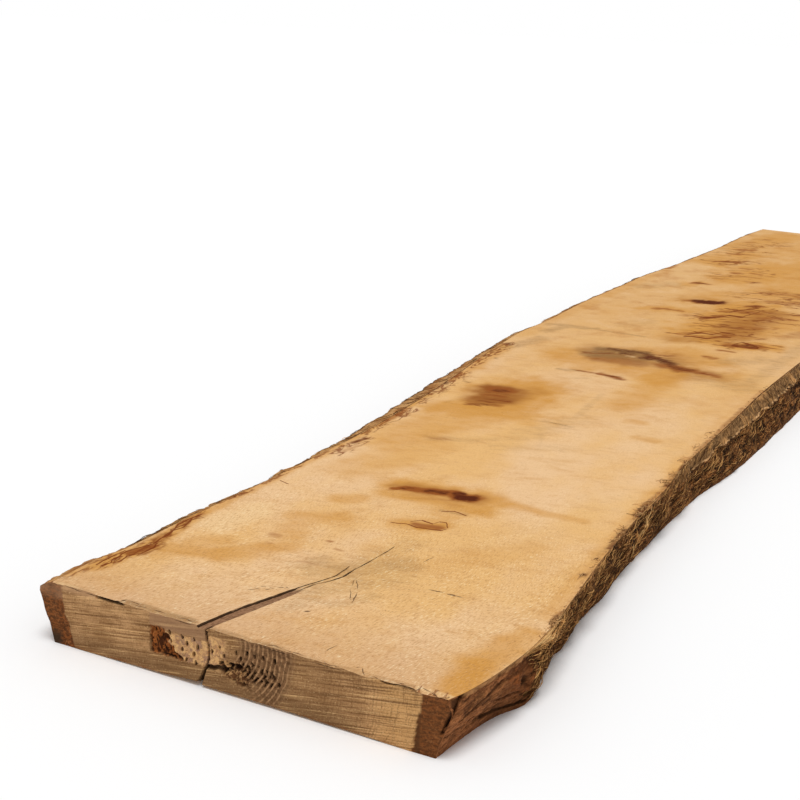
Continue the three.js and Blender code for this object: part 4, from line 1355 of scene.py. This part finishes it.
def wavering(sh, place, waver):
    """The place moved to and fro by some millimetres, so that no line drawn with it is quite straight."""
    inputs = {"Vector": sh.stretch(place, (9, 9, 9)), "Scale": 1, "Detail": 3}
    noise = sh.add("ShaderNodeTexNoise", inputs, 1)
    shift = sh.vector("MULTIPLY", sh.vector("ADD", noise, (-0.5, -0.5, -0.5)), (waver, waver, 0))
    return sh.vector("ADD", place, shift)


def tracks(sh, along, across, lines):
    """Several tracks as one mask: each line is a half width and its points."""
    total = 0.0
    for half_width, points in lines:
        total = sh.math("MAXIMUM", total, sh.track(along, across, half_width, points))
    return total


def fine_marks(sh, place, fine_mark, marks, waver):
    """The given marks as one mask."""
    moved = wavering(sh, place, waver)
    total = None
    for s0, x0, s1, x1, half in marks:
        inputs = {
            "Place": moved,
            "Centre": ((x0 + x1) / 2, (s0 + s1) / 2, 0),
            "Turn": (0, 0, -math.atan2(x1 - x0, s1 - s0)),
            "Size": (half, math.hypot(x1 - x0, s1 - s0) / 2 + half, 1),
        }
        mark = sh.group(fine_mark, inputs)
        total = mark if total is None else sh.math("MAXIMUM", total, mark)
    return total


def new_material(name):
    """An empty material, and the helper that fills it."""
    material = bpy.data.materials.new(name)
    material.use_nodes = True
    material.node_tree.nodes.clear()
    return material, Shader(material.node_tree)


def finish_material(sh, colour, height, strength, distance=0.0006):
    """Ends a dull wood or bark material in its Principled BSDF, with the height as a bump."""
    normal = sh.add("ShaderNodeBump", {"Height": height, "Strength": strength, "Distance": distance})
    inputs = {"Base Color": colour, "Roughness": 0.85, "Normal": normal, "Specular IOR Level": 0.06}
    surface = sh.add("ShaderNodeBsdfPrincipled", inputs)
    sh.add("ShaderNodeOutputMaterial", {"Surface": surface})


def sawn_ground(sh, place, patchy, fine):
    """Pale sawn oak with golden clouds, browner at the near end and duller and more uneven far away."""
    clouds = sh.noise(sh.stretch(place, (110, 190, 100), (60, 20, 0)), 3, 0.55)
    drift = sh.noise(sh.stretch(place, (64, 60, 50), (9, 7, 0), CROSS_TURN), 4, 0.62)
    s = sh.axis(place, 1)
    far = sh.ease(s, 420, 1700)
    return sh.layered(tint(233, 193, 146), [
        (tint(229, 182, 119), sh.ease(clouds, 0.36, 0.64)),
        (tint(217, 170, 111), sh.times(far, 0.9)),
        (tint(206, 162, 120), sh.ease(s, 110, 0, 0, 0.6)),
        (tint(204, 152, 92), sh.ease(patchy, 0.48, 0.78, 0, 0.5)),
        (tint(206, 160, 112), sh.ease(fine, 0.5, 0.7, 0, 0.3)),
        (tint(188, 128, 68), sh.times(sh.ease(drift, 0.5, 0.72), sh.times(far, 0.75))),
        (tint(228, 186, 136), sh.times(sh.ease(drift, 0.46, 0.3), sh.times(far, 0.7))),
    ])


def stained(sh, colour, place, patchy, fine):
    """The stains over the sawn wood, each kind by its own look, and crooked brown lines in some of them."""
    frayed = sh.noise(sh.stretch(place, (9, 4, 4), turn=CROSS_TURN), 4, 0.7)
    noises = {"patchy": patchy, "fine": fine, "frayed": frayed}
    for name, (stain, noise, amount, low, high) in STAIN_LOOKS.items():
        colour = sh.blend(colour, tint(*stain), sh.ragged(name, noises[noise], amount, low, high))
    crooked = sh.noise(sh.stretch(place, (9, 34, 9), (2, 0, 0)), 3, 0.55, 0.5)
    scribble = sh.times(sh.lines(crooked, 0.085), sh.ragged("scribble", patchy, 0.8, 0.15, 0.6))
    crossing = sh.noise(sh.stretch(place, (90, 26, 16), (7, 3, 0), CROSS_TURN), 3, 0.55, 0.4)
    contour = sh.times(sh.lines(crossing, 0.035), sh.ragged("contour", patchy, 0.6, 0.15, 0.7))
    return sh.blend(colour, tint(124, 60, 20), sh.times(sh.math("MAXIMUM", scribble, contour), 0.85))


def flecked(sh, colour, place, wood_flecks):
    """Dark streaks, pale torn flecks and dark pores, strongest near the cut end and weak on the stains."""
    flecks = {"Place": place}
    streak = sh.group(wood_flecks, flecks, 0)
    dirty = sh.math("MAXIMUM", sh.mask("rust"), sh.math("MAXIMUM", sh.mask("umber"), sh.mask("haze")))
    near = sh.times(sh.ease(sh.axis(place, 1), 520, 120, 0.3, 1), sh.ease(dirty, 0.15, 0.6, 1, 0.15))
    torn = sh.times(near, sh.ease(sh.mask("amber"), 0.2, 0.8, 0.8, 0.25))
    return sh.layered(colour, [
        (tint(172, 122, 72), sh.times(sh.ease(streak, 0.5, 0.32, 0, 0.6), near)),
        (tint(255, 230, 188), sh.times(sh.group(wood_flecks, flecks, 1), torn)),
        (tint(110, 72, 40), sh.times(sh.group(wood_flecks, flecks, 2), sh.times(near, 0.95))),
    ])


def crack_shade_lines(sh, place):
    """Painted shade: thin dark lines along both lips of the crack and the hairline, as one mask."""
    moved = wavering(sh, place, 1.2)
    lips = [(0.45, LEFT_LIP), (0.45, RIGHT_LIP), (0.6, HAIRLINE)]
    return tracks(sh, sh.axis(moved, 1), sh.axis(moved, 0), lips)


def drawn_lines(sh, place):
    """The red-brown lines beside the left border and those that run across the board, as one mask."""
    moved = wavering(sh, place, 3)
    x, s = sh.axis(moved, 0), sh.axis(moved, 1)
    return sh.math("MAXIMUM", tracks(sh, s, x, BORDER_LINES), tracks(sh, x, s, CROSS_LINES))


def sawn_top_material(wood_flecks, fine_mark):
    """Pale sawn oak with its stains, flecks, lines and marks, the browner wood and painted shade in the
    crack.
    """
    material, sh = new_material("sawn_top")
    place = sh.place()
    patchy = sh.noise(sh.stretch(place, (34, 20, 20), turn=CROSS_TURN), 4, 0.62)
    fine = sh.noise(sh.stretch(place, (20, 8, 8), turn=CROSS_TURN), 5, 0.68, 0.3)
    colour = sawn_ground(sh, place, patchy, fine)
    colour = stained(sh, colour, place, patchy, fine)
    colour = flecked(sh, colour, place, wood_flecks)
    streak = sh.group(wood_flecks, {"Place": place}, 0)
    ribbon = sh.blend(tint(154, 114, 84), tint(104, 70, 46), sh.ease(streak, 0.42, 0.62))
    marks = fine_marks(sh, place, fine_mark, MARKS, 5)
    colour = sh.layered(colour, [
        (ribbon, sh.times(sh.mask("strip"), 0.95)),
        (tint(118, 54, 16), sh.times(drawn_lines(sh, place), 0.9)),
        (tint(82, 54, 34), sh.times(marks, 0.85)),
        # painted shade in the crack
        (tint(50, 30, 20), sh.mask("pit")),
        # painted shade along the crack's lips and the hairline
        (tint(58, 36, 22), sh.times(crack_shade_lines(sh, place), 0.85)),
        # painted shade, near black, in the splinter's gap on the top
        (tint(20, 10, 6), fine_marks(sh, place, fine_mark, SPLINTER_SHADE_MARKS, 0.4)),
    ])
    finish_material(sh, colour, sh.math("SUBTRACT", streak, marks), 0.4)
    return material


def end_wood(sh, place, saw, cloud, grit):
    """Sawn end grain: saw lines that rise to the right and growth rings about the heart."""
    coarse = sh.noise(sh.stretch(place, (130, 40, 3.4), (3, 0, 5), SAW_TILT), 3, 0.62, 0.2)
    from_heart = sh.vector("SUBTRACT", place, (RING_CENTRE[0], 0, RING_CENTRE[1]))
    away = sh.vector("LENGTH", sh.vector("MULTIPLY", from_heart, (1, 0, 1)), output=1)
    ring = sh.math("ADD", away, sh.times(cloud, 9))
    ring_place = sh.add("ShaderNodeCombineXYZ", {0: sh.math("DIVIDE", ring, 1.5), 2: sh.axis(place, 2)})
    ring_line = sh.noise(sh.vector("MULTIPLY", ring_place, (1, 1, 0.03)), 2, 0.6)
    x, z = sh.axis(place, 0), sh.axis(place, 2)
    middle = sh.times(sh.ease(x, -95, -60), sh.ease(x, 125, 70))
    deep = side_tint(92, 62, 36)
    return sh.layered(side_tint(172, 132, 90), [
        (side_tint(140, 103, 66), sh.ease(cloud, 0.35, 0.65)),
        (side_tint(186, 142, 90), sh.times(sh.ease(x, 112, 146), 0.7)),
        (side_tint(124, 91, 58), sh.times(middle, 0.6)),
        (side_tint(108, 80, 52), sh.times(sh.ease(x, 130, 90), sh.ease(z, 26, 6, 0, 0.7))),
        (deep, sh.ease(saw, 0.5, 0.66, 0, 0.8)),
        (deep, sh.ease(coarse, 0.52, 0.64, 0, 0.75)),
        (side_tint(208, 168, 116), sh.ease(saw, 0.46, 0.32, 0, 0.65)),
        (deep, sh.times(sh.ease(ring_line, 0.5, 0.64), sh.ease(x, 50, 90, 0.15, 0.35))),
        (side_tint(78, 48, 26), sh.ease(grit, 0.54, 0.68, 0, 0.6)),
        (side_tint(218, 180, 130), sh.ease(grit, 0.42, 0.3, 0, 0.45)),
        (side_tint(120, 76, 44), sh.times(sh.ease(z, 5, 1), sh.ease(cloud, 0.4, 0.6, 0.1, 0.6))),
    ])


def decayed_wood(sh, colour, place, grit, clump):
    """The decay over the end grain: mauve and pale soft wood, rot, bare rings and the crumbled patch."""
    patch = sh.noise(sh.stretch(place, (9, 20, 8), (6, 0, 1)), 3, 0.6)
    pale = sh.layered(side_tint(200, 158, 106), [
        (side_tint(164, 124, 88), sh.ease(clump, 0.42, 0.62)),
        (side_tint(138, 104, 84), sh.ease(patch, 0.52, 0.6, 0, 0.8)),
        (side_tint(96, 60, 32), sh.ease(grit, 0.54, 0.68, 0, 0.7)),
    ])
    chunk = sh.noise(sh.stretch(place, (3.4, 4, 8), (1, 0, 2)), 3, 0.6, 0.4)
    rot = sh.layered(side_tint(138, 80, 38), [
        (side_tint(64, 33, 15), sh.ease(chunk, 0.45, 0.56)),
        (side_tint(168, 116, 66), sh.ease(chunk, 0.38, 0.3, 0, 0.8)),
        (side_tint(24, 10, 4), sh.ease(grit, 0.54, 0.66, 0, 0.6)),
    ])
    ring_wood = sh.blend(side_tint(110, 79, 53), side_tint(74, 50, 31), sh.ease(clump, 0.4, 0.6))
    crumb = sh.blend(side_tint(184, 142, 94), side_tint(78, 47, 25), sh.ease(clump, 0.36, 0.52))
    return sh.layered(colour, [
        (side_tint(140, 106, 78), sh.times(sh.mask("mauve"), 0.65)),
        (pale, sh.times(sh.mask("pale_wood"), 0.9)),
        (rot, sh.mask("rot")),
        (ring_wood, sh.times(sh.mask("ring_wood"), 0.85)),
        (crumb, sh.times(sh.mask("crumb"), 0.9)),
        (side_tint(170, 131, 93), sh.times(sh.mask("rings"), sh.ease(clump, 0.4, 0.6, 0.75, 0.2))),
        (side_tint(170, 132, 96), sh.times(sh.mask("bevel"), 0.6)),
    ])


def cut_bark(sh, place, cloud, grit, clump):
    """The bark on the near end: red-brown, grey at the left foot, pale at the left top, with a dark seam."""
    x, z = sh.axis(place, 0), sh.axis(place, 2)
    fibre = sh.noise(sh.stretch(place, (5, 9, 2.2)), 4, 0.65)
    left_top = sh.times(sh.ease(x, -168, -173), sh.ease(z, 38, 46))
    seam = sh.times(sh.ease(x, 161, 162.5), sh.ease(x, 167, 165))
    return sh.layered(side_tint(116, 66, 32), [
        (side_tint(74, 42, 21), sh.ease(fibre, 0.42, 0.58)),
        (side_tint(50, 30, 18), sh.ease(grit, 0.52, 0.64, 0, 0.75)),
        (side_tint(142, 90, 52), sh.ease(clump, 0.44, 0.32, 0, 0.7)),
        (side_tint(84, 46, 22), sh.ease(x, 150, 160, 0, 0.35)),
        (side_tint(48, 34, 24), sh.times(sh.ease(x, -172, -180), sh.ease(z, 18, 5))),
        (side_tint(142, 106, 78), sh.times(left_top, sh.ease(cloud, 0.3, 0.6, 0.9, 0.4))),
        (side_tint(66, 40, 22), sh.times(seam, 0.7)),
    ])


def end_grain_material(name, fine_mark, decayed):
    """An end of the board: sawn end grain, and on the near end the decay, the cut bark, and dark marks and
    pits of painted shade.
    """
    material, sh = new_material(name)
    place = sh.place()
    saw = sh.noise(sh.stretch(place, (80, 40, 1.7), turn=SAW_TILT), 4, 0.68, 0.2)
    cloud = sh.noise(sh.stretch(place, (24, 20, 13)), 3, 0.6)
    grit = sh.noise(sh.stretch(place, (1.6, 1.6, 1.3)), 3, 0.65)
    colour = end_wood(sh, place, saw, cloud, grit)
    if decayed:
        clump = sh.noise(sh.stretch(place, (3.6, 4, 5)), 4, 0.65)
        flat_place = sh.add("ShaderNodeCombineXYZ", {0: sh.axis(place, 0), 1: sh.axis(place, 2)})
        marks = fine_marks(sh, flat_place, fine_mark, END_SHADE_MARKS, 1.2)
        colour = sh.layered(decayed_wood(sh, colour, place, grit, clump), [
            (cut_bark(sh, place, cloud, grit, clump), sh.times(sh.mask("end_bark"), 0.95)),
            # painted shade in the crack, holes, gaps and splits
            (side_tint(30, 15, 7), sh.mask("pit")),
            # painted shade, near black, in the splinter's gap and the cracks
            (side_tint(22, 12, 6), sh.times(marks, 0.95)),
        ])
    finish_material(sh, colour, sh.math("ADD", saw, sh.times(grit, 0.5)), 0.5)
    return material


def wood_beside_bark(sh, colour, fibre, cloud):
    """What is no bark on the bark slabs: the wane, the left edge's bare wood, the pale rim of painted
    highlight, and the ledge.
    """
    wane = sh.layered(side_tint(136, 102, 64), [
        (side_tint(84, 60, 36), sh.ease(fibre, 0.42, 0.58)),
        (side_tint(176, 130, 80), sh.ease(cloud, 0.5, 0.66, 0, 0.8)),
    ])
    bare = sh.layered(tint(204, 156, 100), [
        (tint(166, 112, 60), sh.ease(cloud, 0.42, 0.62)),
        (tint(110, 60, 26), sh.times(sh.lines(fibre, 0.05), 0.8)),
    ])
    return sh.layered(colour, [
        (wane, sh.times(sh.mask("wane"), 0.9)),
        (bare, sh.mask("bare")),
        # painted highlight: a pale band along the top of the right bark
        (side_tint(150, 108, 68), sh.times(sh.ragged("rim", fibre, 1.8, 0.4, 1), 0.8)),
        (side_tint(180, 140, 96), sh.ragged("ledge", fibre, 2.6, 0.5, 1.2)),
    ])


def bark_material():
    """Oak bark: dark fibres that rise along the board, redder near the cut end, with painted shade in its
    hollows and a painted highlight on its crests.
    """
    material, sh = new_material("bark")
    place = sh.place()
    lean = (math.degrees(math.atan(BARK_LEAN)), 0, 0)
    fibre = sh.noise(sh.stretch(place, (6, 19, 1.3), turn=lean), 5, 0.68, 0.3)
    cloud = sh.noise(sh.stretch(place, (30, 34, 14), (5, 8, 2)), 3, 0.6)
    grit = sh.noise(sh.stretch(place, (2.2, 2.6, 1.6)), 3, 0.7)
    s = sh.axis(place, 1)
    near = sh.ease(s, 175, 85)
    knotted = sh.times(sh.ease(s, 52, 82), sh.ease(s, 150, 120))
    old = sh.blend(side_tint(52, 27, 9), side_tint(138, 88, 44), sh.ease(fibre, 0.45, 0.62))
    young = sh.blend(side_tint(104, 62, 34), side_tint(142, 90, 54), sh.ease(fibre, 0.42, 0.6))
    crest_highlight = sh.blend(side_tint(150, 108, 66), side_tint(146, 84, 44), near)
    thread = sh.blend(side_tint(196, 154, 104), side_tint(178, 112, 62), near)
    colour = sh.layered(sh.blend(old, young, near), [
        (side_tint(128, 84, 48), sh.ease(cloud, 0.52, 0.75, 0, 0.45)),
        (side_tint(168, 120, 74), sh.times(sh.ease(grit, 0.44, 0.34), sh.ease(near, 0, 1, 0.75, 0.35))),
        (side_tint(30, 16, 7), sh.times(sh.ease(grit, 0.52, 0.64), sh.ease(near, 0, 1, 0.9, 0.45))),
        # painted highlight on the bark's raised crests
        (crest_highlight, sh.times(sh.ragged("crest_highlight", fibre, 0.9, 0.4, 0.95), sh.ease(grit, 0.6, 0.45))),
        (thread, sh.ease(fibre, 0.64, 0.72, 0, 0.7)),
        (side_tint(60, 30, 11), sh.times(knotted, sh.ease(cloud, 0.3, 0.6, 0.8, 0.45))),
    ])
    colour = wood_beside_bark(sh, colour, fibre, cloud)
    # Painted shade: near black in the bark's hollows and on the wood's sides behind the bark
    hollow = sh.times(sh.mask("hollow"), sh.ease(near, 0, 1, 1, 0.75))
    hollow = sh.times(hollow, sh.ease(sh.mask("bare"), 0, 1, 0.92, 0.2))
    colour = sh.blend(colour, side_tint(20, 11, 5), hollow)
    finish_material(sh, colour, sh.math("ADD", fibre, sh.times(grit, 0.5)), 0.6, 0.001)
    return material


def strand_material(name, dark, pale, light):
    """Loose fibres: each takes its own shade between a dark and a pale colour."""
    material, sh = new_material(name)
    colour = sh.blend(tint(*dark, light), tint(*pale, light), sh.mask("shade"))
    inputs = {"Base Color": colour, "Roughness": 0.8, "Specular IOR Level": 0.05}
    sh.add("ShaderNodeOutputMaterial", {"Surface": sh.add("ShaderNodeBsdfPrincipled", inputs)})
    return material


def studio():
    """A pale floor, a soft white room and a very soft overhead light."""
    reach = FLOOR_REACH
    corners = [(-reach, -reach, 0), (reach, -reach, 0), (reach, reach, 0), (-reach, reach, 0)]
    mesh = bpy.data.meshes.new("floor")
    mesh.from_pydata(corners, [], [(0, 1, 2, 3)])
    floor = bpy.data.objects.new("floor", mesh)
    bpy.context.collection.objects.link(floor)
    material, sh = new_material("floor_white")
    inputs = {"Base Color": [FLOOR_WHITE] * 3, "Roughness": 0.95, "Specular IOR Level": 0.0}
    sh.add("ShaderNodeOutputMaterial", {"Surface": sh.add("ShaderNodeBsdfPrincipled", inputs)})
    mesh.materials.append(material)
    world = bpy.data.worlds.new("room")
    bpy.context.scene.world = world
    world.use_nodes = True
    world.node_tree.nodes.clear()
    sky = Shader(world.node_tree)
    seen = sky.add("ShaderNodeLightPath")
    strength = sky.math("MULTIPLY_ADD", seen, 1 - ROOM_LIGHT, ROOM_LIGHT)
    room = sky.add("ShaderNodeBackground", {"Color": (1, 1, 1), "Strength": strength})
    sky.add("ShaderNodeOutputWorld", {"Surface": room})
    lamp = bpy.data.lights.new("overhead", "SUN")
    lamp.energy, lamp.angle = SUN_LIGHT, math.radians(SUN_SPREAD)
    light = bpy.data.objects.new("overhead", lamp)
    light.rotation_euler = Vector(SUN_FROM).to_track_quat("Z", "Y").to_euler()
    bpy.context.collection.objects.link(light)


def photo_camera():
    """The camera that took the photograph, as worked out from its perspective."""
    data = bpy.data.cameras.new("camera")
    data.lens, data.sensor_width, data.sensor_fit = FOCAL_LENGTH, SENSOR_WIDTH, "HORIZONTAL"
    data.clip_end = VIEW_REACH
    camera = bpy.data.objects.new("camera", data)
    turn = np.stack([CAMERA_RIGHT, -np.array(CAMERA_DOWN), -np.array(CAMERA_FORWARD)], -1)
    place = to_metres(*CAMERA_PLACE)[0]
    camera.matrix_world = Matrix.Translation(place) @ Matrix(turn.tolist()).to_4x4()
    bpy.context.collection.objects.link(camera)
    bpy.context.scene.camera = camera


bark = bark_material()
fine_mark = fine_mark_group()
wood_materials = [
    sawn_top_material(wood_flecks_group(), fine_mark), bark,
    end_grain_material("near_end", fine_mark, True), end_grain_material("far_end", fine_mark, False),
]
bast = strand_material("bast", (58, 32, 12), (210, 158, 96), SIDE_LIGHT)
straw = strand_material("straw", (150, 92, 42), (246, 202, 136), TOP_LIGHT)
border_hair = strand_material("border_hair", (98, 56, 24), (232, 184, 124), TOP_LIGHT)
torn_wood = strand_material("torn_wood", (200, 152, 98), (232, 192, 142), TOP_LIGHT)

wood = oak_wood(wood_materials)
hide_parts(NODE)
bark_slab("right_bark", 1, bark)
bark_slab("left_bark", -1, bark)
hanging_strands("right_strands", 1, RIGHT_STRANDS, bast)
hanging_strands("left_strands", -1, LEFT_STRANDS, bast)
fibre_bundles("fibre_bundles", BARK_BUNDLES, BARK_FIBRE, bast)
fibre_bundles("straw_bundles", STRAW_BUNDLES, STRAW_FIBRE, straw)
border_hairs("border_hairs", border_hair)
saw_fuzz("saw_fuzz", SAW_HAIRS, torn_wood)
studio()
photo_camera()
bpy.context.scene.view_settings.view_transform = "Standard"
